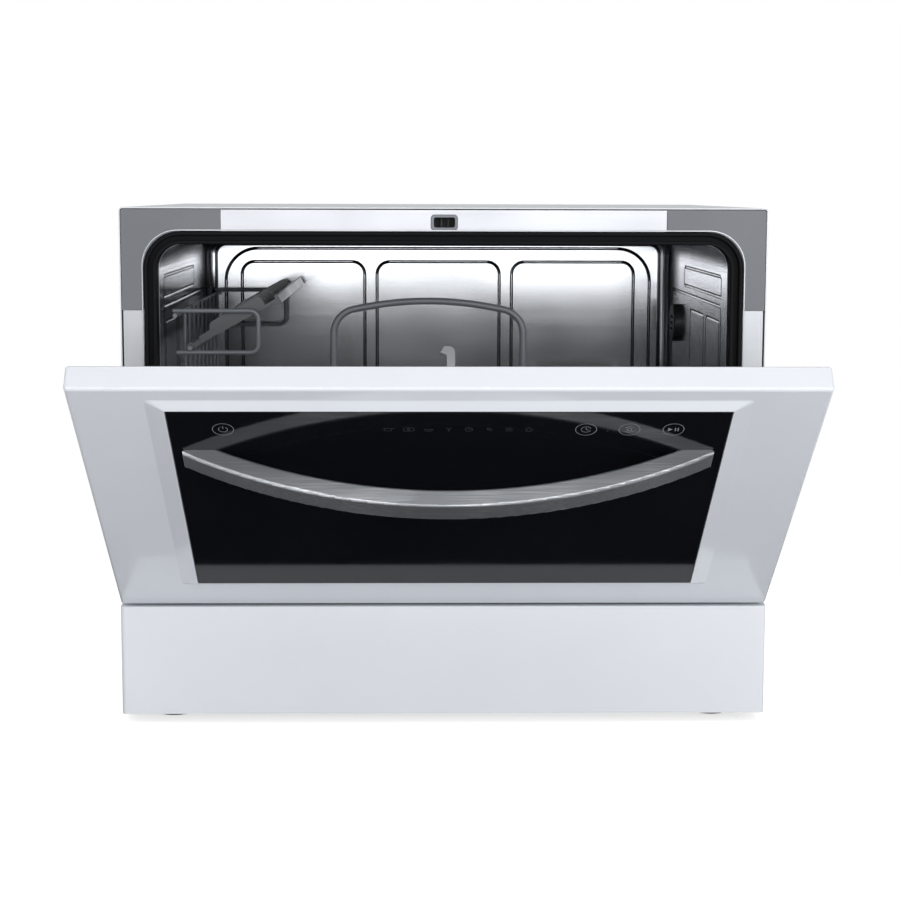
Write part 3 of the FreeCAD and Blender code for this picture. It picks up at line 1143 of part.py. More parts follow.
def make_front_trim():
    """Corner covers, latch bezel and latch housing round the tub's mouth."""
    start = "(frame_setback - cover_thick)"
    arm_x, arm_z = "(cabinet_half - cover_arm)", "cabinet_height - cover_arm - cover_lap"
    edge_x, edge_z = "(flange_half + cover_lap)", "flange_top + cover_head"
    for side, label in ((-1, "left_corner_cover"), (1, "right_corner_cover")):
        cover = cabinet_body(label)
        shift = "%d * " % side
        pad(cover, "XZ", start, "frame_setback", [
            (shift + arm_x, edge_z), (shift + arm_x, "mouth_top"),
            (shift + "mouth_half", "mouth_top", "mouth_corner"), (shift + "mouth_half", arm_z),
            (shift + edge_x, arm_z), (shift + edge_x, edge_z, "cover_corner"),
        ])
        soften(cover, "cover_round", level("Y", start))

    bezel = cabinet_body("latch_bezel")
    front = "(frame_setback - latch_proud)"
    pad(bezel, "XZ", front, "frame_setback",
        wide_rect("latch_half", "latch_low", "latch_high", "latch_corner"),
        wide_rect("latch_half - latch_rim", "latch_low + latch_rim", "latch_high - latch_rim",
                  "latch_slot_round"))
    soften(bezel, "latch_round", level("Y", front))

    housing = cabinet_body("latch_housing")
    seat = "(frame_setback + tub_sheet)"
    pad(housing, "XZ", seat, seat + " + latch_deep", wide_rect(
        "latch_case", "mouth_top + tub_sheet + fit_gap", "flange_top - slot_gap", "latch_slot_round"))
    cut(housing, "XZ", seat, seat + " + latch_deep - latch_end", wide_rect(
        "latch_half - latch_rim + latch_lip", "latch_low + latch_rim - latch_lip",
        "latch_high - latch_rim + latch_lip", "latch_slot_round"))
    for x in ("-latch_fin_side", "latch_fin_side"):
        pad(housing, "YZ", x, x + " + latch_fin", rect(
            seat + " + latch_fin_start", seat + " + latch_deep - latch_end / 2", "latch_low + latch_rim / 2",
            "latch_high - latch_rim / 2"))


def make_hinges():
    """Brackets on the base, pins, and the arms inside the door."""
    pins = []
    low, high = "hinge_up - hinge_arm_height / 2", "hinge_up + hinge_arm_height / 2"
    reach = "frame_setback + bracket_reach"
    for side, name in ((-1, "left"), (1, "right")):
        bracket = cabinet_body(name + "_hinge_bracket")
        run = ("%d * bracket_in" % side, "%d * pan_inner" % side)
        pad(bracket, "YZ", *run, disc("hinge_place", "hinge_up", "hinge_eye"))
        pad(bracket, "YZ", *run, rect("hinge_place", reach, low, high))
        pad(bracket, "YZ", *run, rect("frame_setback + bracket_start", reach, low + " - bracket_drop", high))
        cut(bracket, "YZ", "%d * (bracket_in - cut_over)" % side, "%d * (pan_inner + cut_over)" % side,
            disc("hinge_place", "hinge_up", "hinge_pin + run_clear / 2"))
        start = "hinge_arm_in - spring_room" if side > 0 else "-(pan_inner + hinge_pin_end)"
        pins.append(drum("hinge_pin_turned", "x", (start, "hinge_place", "hinge_up"), "hinge_pin",
                         "3 * hinge_plate + spring_room + hinge_pin_end"))

        arm = door_body(name + "_hinge_arm")
        run = ("%d * hinge_arm_in" % side, "%d * hinge_arm_out" % side)
        pad(arm, "YZ", *run, disc("hinge_inset", "hinge_rise", "hinge_eye"))
        pad(arm, "YZ", *run, rect("hinge_inset - hinge_strap", "hinge_inset + hinge_strap", "hinge_rise",
                                  "hinge_foot_top"))
        pad(arm, "YZ", *run, rect("hinge_inset", "door_edge_depth", "hinge_foot_base", "hinge_foot_top"))
        pad(arm, "YZ", "%d * (hinge_arm_in - hinge_foot_width)" % side, "%d * hinge_arm_in" % side, rect(
            "door_edge_depth - hinge_plate", "door_edge_depth", "hinge_foot_base", "hinge_foot_top"))
        cut(arm, "YZ", "%d * (hinge_arm_in - cut_over)" % side, "%d * (hinge_arm_out + cut_over)" % side,
            disc("hinge_inset", "hinge_rise", "hinge_pin + run_clear"))
    group("hinge_pins", pins)


def make_door():
    """The door: white shell, black glass, bowed handle, steel liner and latch hook."""
    shell = door_body("door_outer_panel")
    pad(shell, "XZ", "0", "door_edge_depth", wide_rect("cabinet_half", "0", "door_height", "door_corner"))
    soften(shell, "door_edge_round", level("Y", "0"))
    slope_half, slope_foot = "(glass_half + bevel_side)", "(glass_base - bevel_foot)"
    slope_top = "(glass_top + bevel_head)"

    def round_glass(margin):
        return wide_rect("glass_half + " + margin, "glass_base - " + margin, "glass_top + " + margin,
                         "bevel_inner")

    slope = shell.newObject("PartDesign::AdditiveLoft", "slope")
    slope.Profile = draw(sketch_on(shell, "XZ", "0"),
                         wide_rect(slope_half, slope_foot, slope_top, "bevel_round"))
    slope.Sections = [draw(sketch_on(shell, "XZ", "glass_face"), round_glass("bevel_land"))]
    cut(shell, "XZ", "glass_face - sink_in", "glass_rear", round_glass("fit_gap"))
    cut(shell, "XZ", "glass_rear - sink_in", "door_edge_depth + cut_over", wide_rect(
        "glass_half - glass_ledge", "glass_base + glass_ledge", "glass_top - glass_ledge"))
    cut(shell, "XZ", "door_edge_depth", "door_shell",
        wide_rect("cabinet_half - door_shell", "door_shell", "door_height - door_shell"),
        round_glass("door_shell"))
    slots = [
        rect("%d * (bracket_in - slot_gap)" % side, "%d * (pan_inner + slot_gap)" % side,
             "hinge_inset - hinge_eye", "door_edge_depth + cut_over")
        for side in (-1, 1)
    ]
    cut(shell, "XY", "-cut_over", "door_shell + slot_gap", *slots)
    soften(shell, "bevel_blend", level("Y", "0"),
           within("X", "-%s - cut_over" % slope_half, slope_half + " + cut_over"),
           within("Z", slope_foot + " - cut_over", slope_top + " + cut_over"))

    glass = door_body("door_glass")
    pad(glass, "XZ", "glass_face", "glass_rear",
        wide_rect("glass_half", "glass_base", "glass_top", "glass_corner"))
    soften(glass, "glass_chamfer", level("Y", "glass_face"), kind="Chamfer")

    handle = door_body("door_handle")
    bow = "((handle_half * handle_half + handle_reach * handle_reach) / (2 * handle_reach))"
    inner = "(%s - handle_thick)" % bow
    foot = "sqrt(%s * %s - (%s - handle_reach) * (%s - handle_reach))" % (inner, inner, bow, bow)
    sketch = sketch_on(handle, "XY", "handle_base")
    ends = ("-handle_half", "handle_half", foot, "-" + foot)
    trace(sketch, [(x, "glass_face") for x in ends], {0: (bow, True), 2: (inner, False)})
    prism(handle, "Pad", "XY", "handle_base", "handle_base + handle_height", sketch)
    soften(handle, "handle_round",
           lambda edge: edge.Curve.TypeId == "Part::GeomCircle" or edge.BoundBox.XLength < 0.1)

    def raised(inset):
        low, high = ("liner_foot_corner - %s" % inset, "liner_corner - %s" % inset)
        half, base, top = "(liner_half - %s)" % inset, "liner_base + %s" % inset, "liner_top - %s" % inset
        return [("-" + half, base, low), (half, base, low), (half, top, high), ("-" + half, top, high)]

    liner = door_body("door_liner")
    pad(liner, "XZ", "door_edge_depth", "liner_rear", wide_rect(
        "cabinet_half - liner_edge", "liner_edge", "door_height - liner_edge", "door_corner"))
    pad(liner, "XZ", "door_edge_depth", "liner_face", raised("0"))
    cut(liner, "XZ", "door_edge_depth", "liner_face - liner_sheet", raised("liner_sheet"))
    soften(liner, "liner_bend - liner_sheet", level("Y", "liner_face - liner_sheet"))
    soften(liner, "liner_bend", level("Y", "liner_face"))
    cut(liner, "XZ", "liner_face + cut_over", "liner_face - liner_sheet - cut_over", wide_rect(
        "dispenser_half - dispenser_lap", "dispenser_base + dispenser_lap", "dispenser_top - dispenser_lap",
        "dispenser_hole_round"))
    notches = [
        rect("%d * (hinge_arm_out - cut_over)" % side, "%d * cabinet_half" % side, "0",
             "hinge_rise + hinge_eye + liner_notch")
        for side in (-1, 1)
    ]
    cut(liner, "XZ", "door_edge_depth - cut_over", "liner_rear + cut_over", *notches)

    hook = door_body("latch_hook")
    rise = "(latch_height - door_foot)"
    low, high = rise + " - hook_thick / 2", rise + " + hook_thick / 2"
    pad(hook, "XZ", "liner_rear", "liner_rear + hook_foot_thick", wide_rect(
        "hook_foot_half", rise + " - hook_foot_rise", rise + " + hook_foot_rise", "hook_foot_thick"))
    sketch = sketch_on(hook, "XY", low)
    edge = "(hook_wide / 2)"
    trace(sketch, [
        ("-%s + hook_barb" % edge, "liner_rear"), (edge, "liner_rear"), (edge, "hook_reach - hook_nose"),
        (edge + " - hook_nose", "hook_reach"), ("-" + edge, "hook_reach"),
        ("-%s - hook_barb" % edge, "hook_reach - hook_barb_start"),
        ("-%s + hook_barb" % edge, "hook_reach - hook_barb_end"),
    ], {2: ("hook_nose", True)})
    prism(hook, "Pad", "XY", low, high, sketch)
    soften(hook, "hook_round", level("Z", high),
           within("Y", "liner_rear + hook_foot_thick + slot_gap", "hook_reach + cut_over"))


def make_dispenser():
    """The detergent dispenser in the liner, its sliding lid, the rinse-aid cap and the control board."""
    housing = door_body("dispenser_housing")
    pad(housing, "XZ", "liner_face", "dispenser_face",
        wide_rect("dispenser_half", "dispenser_base", "dispenser_top", "dispenser_corner"))
    pad(housing, "XZ", "liner_face - dispenser_deep", "liner_face", wide_rect(
        "dispenser_half - dispenser_lap - fit_gap", "dispenser_base + dispenser_lap + fit_gap",
        "dispenser_top - dispenser_lap - fit_gap", "dispenser_hole_round"))
    cut(housing, "XZ", "dispenser_face", "dispenser_face - cup_deep", rect(
        "cup_place - cup_wide / 2", "cup_place + cup_wide / 2", "dispenser_middle - cup_tall / 2",
        "dispenser_middle + cup_tall / 2", "cup_round"))
    cut(housing, "XZ", "dispenser_face", "dispenser_face - cap_well",
        disc("cap_place", "dispenser_middle", "cap_neck + run_clear"))
    under = "(dispenser_face + lid_thick + 2 * fit_gap)"
    crest = "(%s + track_roof)" % under
    for edge, way in (("lid_low", -1), ("lid_high", 1)):
        wall = "(%s + (%d) * fit_gap)" % (edge, way)
        outside, lip = "%s + (%d) * track_wall" % (wall, way), "%s - (%d) * track_lip" % (wall, way)
        pad(housing, "YZ", "lid_left - cut_over", "lid_right + lid_travel + cut_over", [
            ("dispenser_face", outside), (crest, outside), (crest, lip), (under, lip), (under, wall),
            ("dispenser_face", wall),
        ])

    lid = door_body("detergent_lid")
    seat = "(dispenser_face + fit_gap)"
    top = seat + " + lid_thick"
    pad(lid, "XZ", seat, top, rect("lid_left", "lid_right", "lid_low", "lid_high", "lid_corner"))
    rib = "(lid_right - lid_rib_edge)"
    pad(lid, "XZ", top, top + " + lid_rib_tall", rect(
        rib + " - lid_rib", rib, "dispenser_middle - lid_rib_half", "dispenser_middle + lid_rib_half",
        "lid_rib_round"))

    cap = door_body("rinse_aid_cap")
    low, high = "dispenser_face + turn_gap", "dispenser_face + cap_height"
    pad(cap, "XZ", low, high, disc("cap_place", "dispenser_middle", "cap_radius"))
    soften(cap, "cap_round", level("Y", high))
    pad(cap, "XZ", low, "dispenser_face - cap_neck_run", disc("cap_place", "dispenser_middle", "cap_neck"))
    pad(cap, "XZ", high, high + " + cap_grip_tall", rect(
        "cap_place - cap_grip_half", "cap_place + cap_grip_half", "dispenser_middle - cap_grip",
        "dispenser_middle + cap_grip", "cap_grip_round"))

    board = door_body("control_board")
    pad(board, "XZ", "glass_rear + board_stand", "board_rear",
        wide_rect("board_half", "board_base", "board_top", "board_corner"))
    posts = [
        disc("%d * (board_half - board_post_edge)" % side, "board_base + board_post_edge", "board_post")
        for side in (-1, 0, 1)
    ]
    pad(board, "XZ", "glass_rear", "glass_rear + board_stand + sink_in", *posts)
    low, high = "-board_half + chip_edge", "board_half - chip_edge - chip_wide"
    chips = [
        rect(x, x + " + chip_wide", "board_base + (board_height - chip_tall) / 2",
             "board_base + (board_height + chip_tall) / 2")
        for x in places(low, high, "chip_count")
    ]
    pad(board, "XZ", "board_rear - sink_in", "board_rear + chip_high", *chips)

    screws = door_body("liner_screws")
    screws.AllowCompound = True
    heights = places("liner_screw_low", "door_height - liner_screw_high", 3)
    spots = [("%d * (cabinet_half - liner_screw_edge)" % side, z) for side in (-1, 1) for z in heights]
    spots += [("%d * liner_screw_half" % side, "door_height - liner_screw_edge") for side in (-1, 1)]
    pad(screws, "XZ", "liner_rear", "liner_rear + liner_screw_head",
        *[disc(x, z, "liner_screw") for x, z in spots])


def make_springs():
    """Torsion springs round the hinge pins, with a leg along each hinge arm."""
    wire, inner = num("spring_wire"), num("hinge_arm_in")
    coil = num("hinge_pin + spring_clear + spring_wire")
    pitch = num("2 * spring_wire + spring_gap")
    y, z = num("hinge_inset"), num("hinge_rise")
    helix = Part.makeHelix(pitch, pitch * num("spring_turns"), coil)
    start = Part.Wire(Part.makeCircle(wire, V(coil, 0, 0), V(0, 1, 0)))
    spring = Part.Wire(helix.Edges).makePipeShell([start], True, True)
    if spring.ShapeType == "Shell":
        spring = Part.makeSolid(spring)
    spring.rotate(V(), V(0, 1, 0), -90)
    spring.rotate(V(), V(1, 0, 0), -90)
    spring.translate(V(inner - wire, y, z))
    leg = Part.makeCylinder(wire, num("spring_leg"), V(inner - wire, y + coil, z), V(0, 0, 1))
    right = spring.fuse(leg)
    item = doc.addObject("Part::Feature", "door_springs")
    item.Shape = Part.Compound([right.mirror(V(), V(1, 0, 0)), right])
    turn = FreeCAD.Rotation(V(1, 0, 0), num("door_rest_angle"))
    item.Placement = FreeCAD.Placement(V(0, num("door_shift"), num("door_lift")), turn)
    node(item, "door_springs")
    print("least gap between spring coils: %.2f mm" % (pitch - 2 * wire))


def make_washing_parts():
    """Sump, filters and spray arm inside the tub, and the softener with its cap."""
    sump = cabinet_body("sump")
    lip = "tub_under - sump_flange"
    inner = "sump_bowl - sump_wall"
    floor = "sump_base + sump_wall"
    revolve(sump, "XZ", "arm_place", [
        ("riser_bore", "sump_base"), ("sump_bowl", "sump_base"), ("sump_bowl", lip),
        ("sump_radius + sump_lip", lip), ("sump_radius + sump_lip", "tub_under"), (inner, "tub_under"),
        (inner, floor), ("riser_radius", floor), ("riser_radius", "riser_top"), ("riser_bore", "riser_top"),
    ])
    for x, radius, start, way in (
        ("port_side", "wash_port", "front_port", 1), ("-port_side", "drain_port", "front_port", 1),
        ("0", "heater_port", "back_port", -1),
    ):
        pad(sump, "XZ", start, "%s + (%d) * port_run" % (start, way), disc(x, "sump_port", radius))
        bore = disc(x, "sump_port", radius + " - port_wall")
        cut(sump, "XZ", "%s - (%d) * cut_over" % (start, way),
            "%s + (%d) * (port_run + port_through)" % (start, way), bore)

    plate = cabinet_body("filter_plate")
    holes = [
        disc("(sump_radius - %s) * cos(%d)" % (ring, angle),
             "arm_place + (sump_radius - %s) * sin(%d)" % (ring, angle), "plate_hole")
        for ring, step in (("plate_ring", 18), ("plate_ring_inner", 24)) for angle in range(-24, 206, step)
    ]
    pad(plate, "XY", "tub_under", "bore_low", disc("0", "arm_place", "sump_radius - plate_clear"),
        disc("0", "arm_place", "riser_radius + fit_gap"),
        disc("0", "strainer_place", "strainer_radius + fit_gap"), *holes)

    strainer = cabinet_body("filter_cup")
    lip_top = "cap_seat + strainer_wall"
    inner = "strainer_radius - strainer_wall"
    revolve(strainer, "XZ", "strainer_place", [
        ("0", "strainer_base"), ("strainer_radius", "strainer_base"), ("strainer_radius", "cap_seat"),
        ("strainer_radius + strainer_lip", "cap_seat"), ("strainer_radius + strainer_lip", lip_top),
        (inner, lip_top), (inner, "strainer_base + strainer_wall"), ("0", "strainer_base + strainer_wall"),
    ])
    pad(strainer, "XY", "cap_seat + strainer_wall / 2", "cap_seat + strainer_grip_top", rect(
        "-strainer_radius", "strainer_radius", "strainer_place - strainer_grip",
        "strainer_place + strainer_grip"))

    arm = cabinet_body("spray_arm")
    roof = "riser_top + hub_clear"
    foot = "bore_low + hub_lift"
    revolve(arm, "XZ", "arm_place", [
        ("riser_radius + run_clear", foot), ("riser_radius + hub_wall", foot),
        ("riser_radius + hub_wall", "arm_crown"), ("riser_radius - hub_dome", "arm_crown + hub_crown"),
        ("0", "arm_crown + hub_crown"), ("0", roof), ("riser_radius + run_clear", roof),
    ])
    blade_low = "arm_base + arm_step"
    bow = "arm_tip * 1.15"
    tip = "(arm_reach - arm_tip * (1.15 - sqrt(1.15 * 1.15 - 1)))"
    sketch = sketch_on(arm, "XY", blade_low)
    trace(sketch, [
        ("-" + tip, "arm_place - arm_tip"), ("0", "arm_place - arm_root"), (tip, "arm_place - arm_tip"),
        (tip, "arm_place + arm_tip"), ("0", "arm_place + arm_root"), ("-" + tip, "arm_place + arm_tip"),
    ], {2: (bow, True), 5: (bow, True)})
    prism(arm, "Pad", "XY", blade_low, "arm_crown", sketch)
    blade_run = num(tip) / 4
    soften(arm, "arm_round", level("Z", "arm_crown"), within("X", "-arm_reach", "arm_reach"),
           lambda e: e.BoundBox.XLength > blade_run or abs(e.BoundBox.Center.x) > num(tip))
    jets = [
        disc("%d * (jet_first + %d * jet_pitch)" % (side, i), "arm_place + (%d) * jet_offset" % side,
             "jet_radius")
        for side in (-1, 1) for i in range(int(num("jet_count")))
    ]
    cut(arm, "XY", "arm_crown", "arm_crown - jet_deep", *jets)

    throat = ("-salt_side", "salt_place", "salt_foot")
    tank = fuse("softener_tank",
                block(("-salt_side - tank_out", "-tank_inner"),
                      ("salt_place - tank_half", "salt_place + tank_half"), ("pan_floor", "salt_foot")),
                drum("throat", "z", throat, "salt_neck", "bore_low - salt_foot"))
    well = drum("throat_bore", "z", throat, "salt_neck - salt_wall", "salt_well")
    node(drill("water_softener", tank, well), "water_softener")
    plug_low = "salt_foot + salt_plug_lift"
    node(fuse(
        "salt_cap",
        drum("salt_lid", "z", ("-salt_side", "salt_place", "cap_seat"), "salt_cap_radius", "salt_cap_thick"),
        drum("salt_plug", "z", ("-salt_side", "salt_place", plug_low), "salt_neck - salt_wall - run_clear",
             "cap_seat + sink_in - (%s)" % plug_low),
        block(("-salt_side - salt_grip_half", "-salt_side + salt_grip_half"),
              ("salt_place - salt_grip", "salt_place + salt_grip"),
              ("cap_seat + salt_cap_thick - sink_in", "cap_seat + salt_grip_top")),
    ), "salt_cap")


def make_pumps():
    """Wash pump, drain pump, drain pipe and heater in the base pan."""
    axis = "(pan_floor + pump_lift)"
    node(fuse(
        "wash_pump",
        drum("volute", "x", ("port_side - pump_case_half", "pump_place", axis), "pump_case",
             "2 * pump_case_half"),
        drum("motor", "x", ("port_side + pump_case_half", "pump_place", axis), "motor_radius", "motor_run"),
        drum("outlet", "y", ("port_side", "pump_place", "sump_port"), "wash_port", "front_port - pump_place"),
        block(("port_side - pump_foot", "port_side + pump_foot"),
              ("pump_place - pump_foot", "pump_place + pump_foot"),
              ("pan_floor", "pan_floor + pump_foot_tall")),
    ), "wash_pump")

    duct = ("drain_pump_place - drain_duct_deep", "drain_pump_place + drain_duct_deep")
    node(fuse(
        "drain_pump",
        drum("rotor_case", "x", ("-drain_place - drain_case_side", "drain_pump_place", "port_height"),
             "drain_case", "drain_case_run"),
        drum("outlet_stub", "y", ("-drain_place", "drain_pump_place", "port_height"), "drain_radius",
             "drain_stub"),
        block(("-port_side - drain_duct", "-port_side + drain_duct"), duct,
              ("port_height - drain_link", "sump_port + drain_duct")),
        block(("-drain_place - drain_case_side + drain_case_run - sink_in", "-port_side"), duct,
              ("port_height - drain_link", "port_height + drain_link")),
        drum("sump_stub", "y", ("-port_side", "drain_pump_place", "sump_port"), "drain_port",
             "front_port - drain_pump_place"),
        block(("-drain_place - drain_duct", "-drain_place + drain_duct"), duct, ("pan_floor", "port_height")),
    ), "drain_pump")

    collar = ("pan_back - pan_wall - port_collar_start", "pan_wall + port_collar_run")
    low = "(drain_pump_place + drain_stub)"
    run = "cabinet_back + inlet_reach - drain_short - %s" % low
    pipe = fuse(
        "pipe_with_collar",
        drum("pipe", "y", ("-drain_place", low, "port_height"), "drain_radius", run),
        drum("pipe_collar", "y", ("-drain_place", collar[0], "port_height"), "drain_radius + port_collar",
             collar[1]),
    )
    bore = drum("pipe_bore", "y", ("-drain_place", low, "port_height"), "drain_radius - drain_wall", run)
    node(drill("drain_pipe", pipe, bore), "drain_pipe")

    foot = "(back_port + heater_foot_start)"
    node(fuse(
        "flow_heater",
        drum("heater_case", "y", ("0", "back_port", "sump_port"), "heater_radius", "heater_run"),
        block(("-heater_foot", "heater_foot"), (foot, foot + " + heater_foot_run"),
              ("pan_floor", "sump_port - heater_radius / 2")),
    ), "flow_heater")


def make_fill_parts():
    """Inlet valve, hose, air break with its vent cap, cord gland and the back panel's screws."""
    collar = ("pan_back - pan_wall - port_collar_start", "pan_wall + port_collar_run")
    node(fuse(
        "inlet_valve",
        block(("inlet_place - valve_half", "inlet_place + valve_half"),
              ("hose_place - valve_deep", "pan_back - pan_wall"), ("pan_floor", "port_height + valve_rise")),
        drum("inlet_thread", "y", ("inlet_place", "hose_place", "port_height"), "inlet_radius",
             "cabinet_back + inlet_reach - hose_place"),
        drum("inlet_collar", "y", ("inlet_place", collar[0], "port_height"), "inlet_radius + port_collar",
             collar[1]),
        drum("valve_spout", "z", ("inlet_place", "hose_place", "port_height"), "valve_outlet", "hose_rise"),
    ), "inlet_valve")

    hose = cabinet_body("inlet_hose")
    low, high = "(port_height + hose_rise)", "tank_base"
    bend = "((%s + %s) / 2)" % (low, high)
    path = sketch_on(hose, "XZ", "hose_place")
    open_path(path, [
        ("inlet_place", low), ("inlet_place", bend + " - hose_turn"), ("inlet_place + hose_turn", bend),
        ("hose_side - hose_turn", bend), ("hose_side", bend + " + hose_turn"), ("hose_side", high),
    ], {1: ("hose_turn", False), 3: ("hose_turn", True)})
    sweep = hose.newObject("PartDesign::AdditivePipe", "sweep")
    sweep.Profile = draw(sketch_on(hose, "XY", low), disc("inlet_place", "hose_place", "hose_radius"))
    sweep.Spine = path

    node(fuse(
        "air_break",
        block(("tank_side", "tank_side + tank_wide"), ("vent_place - tank_front", "hose_place + tank_tail"),
              ("tank_base", "vent_height + tank_rise")),
        drum("air_neck", "x", ("bore_half", "vent_place", "vent_height"), "vent_neck",
             "tub_sheet + vent_neck_run"),
    ), "air_break")
    vent = cabinet_body("vent_cap")
    face = "bore_half - vent_thick"
    pad(vent, "YZ", "bore_half", face, disc("vent_place", "vent_height", "vent_radius"))
    soften(vent, "vent_round", level("X", face))
    slots = [
        rect("vent_place - vent_slot_half", "vent_place + vent_slot_half",
             "vent_height + %d * vent_slot_pitch - vent_slot_tall / 2" % row,
             "vent_height + %d * vent_slot_pitch + vent_slot_tall / 2" % row, "vent_slot_round")
        for row in (-1, 0, 1)
    ]
    cut(vent, "YZ", face, "bore_half - vent_floor", *slots)

    start = "pan_back - gland_start"
    gland = fuse(
        "gland_with_nut",
        drum("gland_body", "y", ("gland_place", start, "port_height"), "gland_radius", "gland_run"),
        drum("gland_collar", "y", ("gland_place", "pan_back", "port_height"), "gland_radius + gland_nut",
             "gland_nut_run"),
    )
    way = drum("cord_way", "y", ("gland_place", start, "port_height"), "gland_bore", "gland_run")
    node(drill("cord_gland", gland, way), "cord_gland")
    heights = places("back_screw_low", "cabinet_height - back_screw_high", "back_screw_count")
    group("panel_screws", [
        drum("screw_head", "y", ("%d * (pan_half - back_screw_edge)" % side, "cabinet_back - panel_sheet", z),
             "back_screw", "back_screw_head")
        for side in (-1, 1) for z in heights
    ])


def make_basket():
    """The wire basket with its welded grid, arch, wheels and cutlery basket."""
    half, front, back = num("basket_half"), num("basket_front"), num("basket_back")
    rim_z, rim_r = num("rim_height"), num("rim_wire")
    wire, sink, low = num("grid_wire"), num("weld_sink"), num("grid_height")
    corners = [(-half, front, rim_z), (half, front, rim_z), (half, back, rim_z), (-half, back, rim_z)]
    bends = dict.fromkeys(range(4), num("basket_round"))
    wire_node("basket_rim", [wire_tube(corners, rim_r, bends, closed=True)])

    post_x = half - rim_r - wire + sink
    post_front, post_back = front + rim_r + wire - sink, back - rim_r - wire + sink
    margin, side_margin = num("grid_margin"), num("grid_side")
    rows = spread(front + rim_r + margin, back - rim_r - margin, int(num("grid_rows")))
    columns = spread(-half + rim_r + side_margin, half - rim_r - side_margin, int(num("grid_columns")))
    upper = low + 2 * wire - sink
    shelf_r = num("shelf_wire")
    rail_z = num("shelf_top") - 2 * shelf_r + sink
    reach = post_x - wire + sink
    wires = []
    for y in rows:
        wires.append(rod((-reach, y, low), (reach, y, low), wire))
        wires.append(rod((-post_x, y, low - wire), (-post_x, y, rail_z + shelf_r), wire))
        wires.append(rod((post_x, y, low - wire), (post_x, y, rim_z), wire))
    for x in columns:
        wires.append(rod((x, post_front + wire - sink, upper), (x, post_back - wire + sink, upper), wire))
        wires.append(rod((x, post_front, upper - wire), (x, post_front, rim_z), wire))
        wires.append(rod((x, post_back, upper - wire), (x, post_back, rim_z), wire))
    tine, pitch = num("tine_wire"), num("tine_pitch")
    for y in (rows[2], rows[4]):
        for i in range(int(num("tine_count"))):
            x = columns[0] + pitch * (i + 0.5)
            if min(abs(x - c) for c in columns) > wire + tine + num("tine_gap"):
                wires.append(rod((x, y, low + wire - sink), (x, y, low + num("tine_height")), tine))
    axle, axle_z = num("axle_radius"), num("axle_height")
    upright, end = num("wheel_side - axle_drop"), num("wheel_side + wheel_width")
    stops = {"front": rows[0] - wire - axle + sink, "rear": rows[-2] - wire - axle + sink}
    for side in (-1, 1):
        for y in stops.values():
            path = [(side * upright, y, low + wire), (side * upright, y, axle_z), (side * end, y, axle_z)]
            wires.append(wire_tube(path, axle, {1: num("axle_bend")}))
    wire_node("basket_wires", wires)

    width = "wheel_width - 2 * wheel_play"
    for name, y in stops.items():
        for start, hand in (("-(wheel_side + wheel_width - wheel_play)", "left"),
                            ("wheel_side + wheel_play", "right")):
            label = "%s_%s_wheel" % (name, hand)
            spot = (start, str(y), "axle_height")
            tread = drum("tread", "x", spot, "wheel_radius", width)
            bore = drum("axle_bore", "x", spot, "axle_radius + run_clear", width)
            node(drill(label, tread, bore), label)

    middle, spread_half = num("arch_middle"), num("arch_half")
    arch_r, peak = num("arch_wire"), num("arch_peak")
    arch_y = front + rim_r + arch_r - sink
    foot, shoulder = rim_z - rim_r - num("arch_foot"), peak - num("arch_bow")
    left, right = middle - spread_half, middle + spread_half
    bow = ((left, foot), (left, shoulder), (middle, peak), (right, shoulder), (right, foot))
    bends = {1: num("arch_bend"), 2: num("arch_crown"), 3: num("arch_bend")}
    wire_node("basket_handle", [wire_tube([(x, arch_y, z) for x, z in bow], arch_r, bends)])

    rack = cabinet_body("cutlery_basket")
    pad(rack, "XY", "rack_base", "rack_top",
        rect("rack_left", "rack_right", "rack_front", "rack_back", "rack_corner"))
    split = "(rack_front + rack_depth / 2)"
    sides = ("rack_left + rack_wall", "rack_right - rack_wall")
    cut(rack, "XY", "rack_top", "rack_base + rack_wall",
        rect(*sides, "rack_front + rack_wall", split + " - rack_wall / 2", "rack_well_round"),
        rect(*sides, split + " + rack_wall / 2", "rack_back - rack_wall", "rack_well_round"))
    starts = ["rack_front + rack_slot_edge + %d * rack_slot_pitch" % i for i in (0, 1)]
    starts += ["rack_back - rack_slot_edge - rack_slot - %d * rack_slot_pitch" % i for i in (1, 0)]
    windows = [
        rect(y, y + " + rack_slot", "rack_base + rack_slot_base", "rack_top - rack_slot_head",
             "rack_slot_round")
        for y in starts
    ]
    cut(rack, "YZ", "rack_left - cut_over", "rack_right + cut_over", *windows)


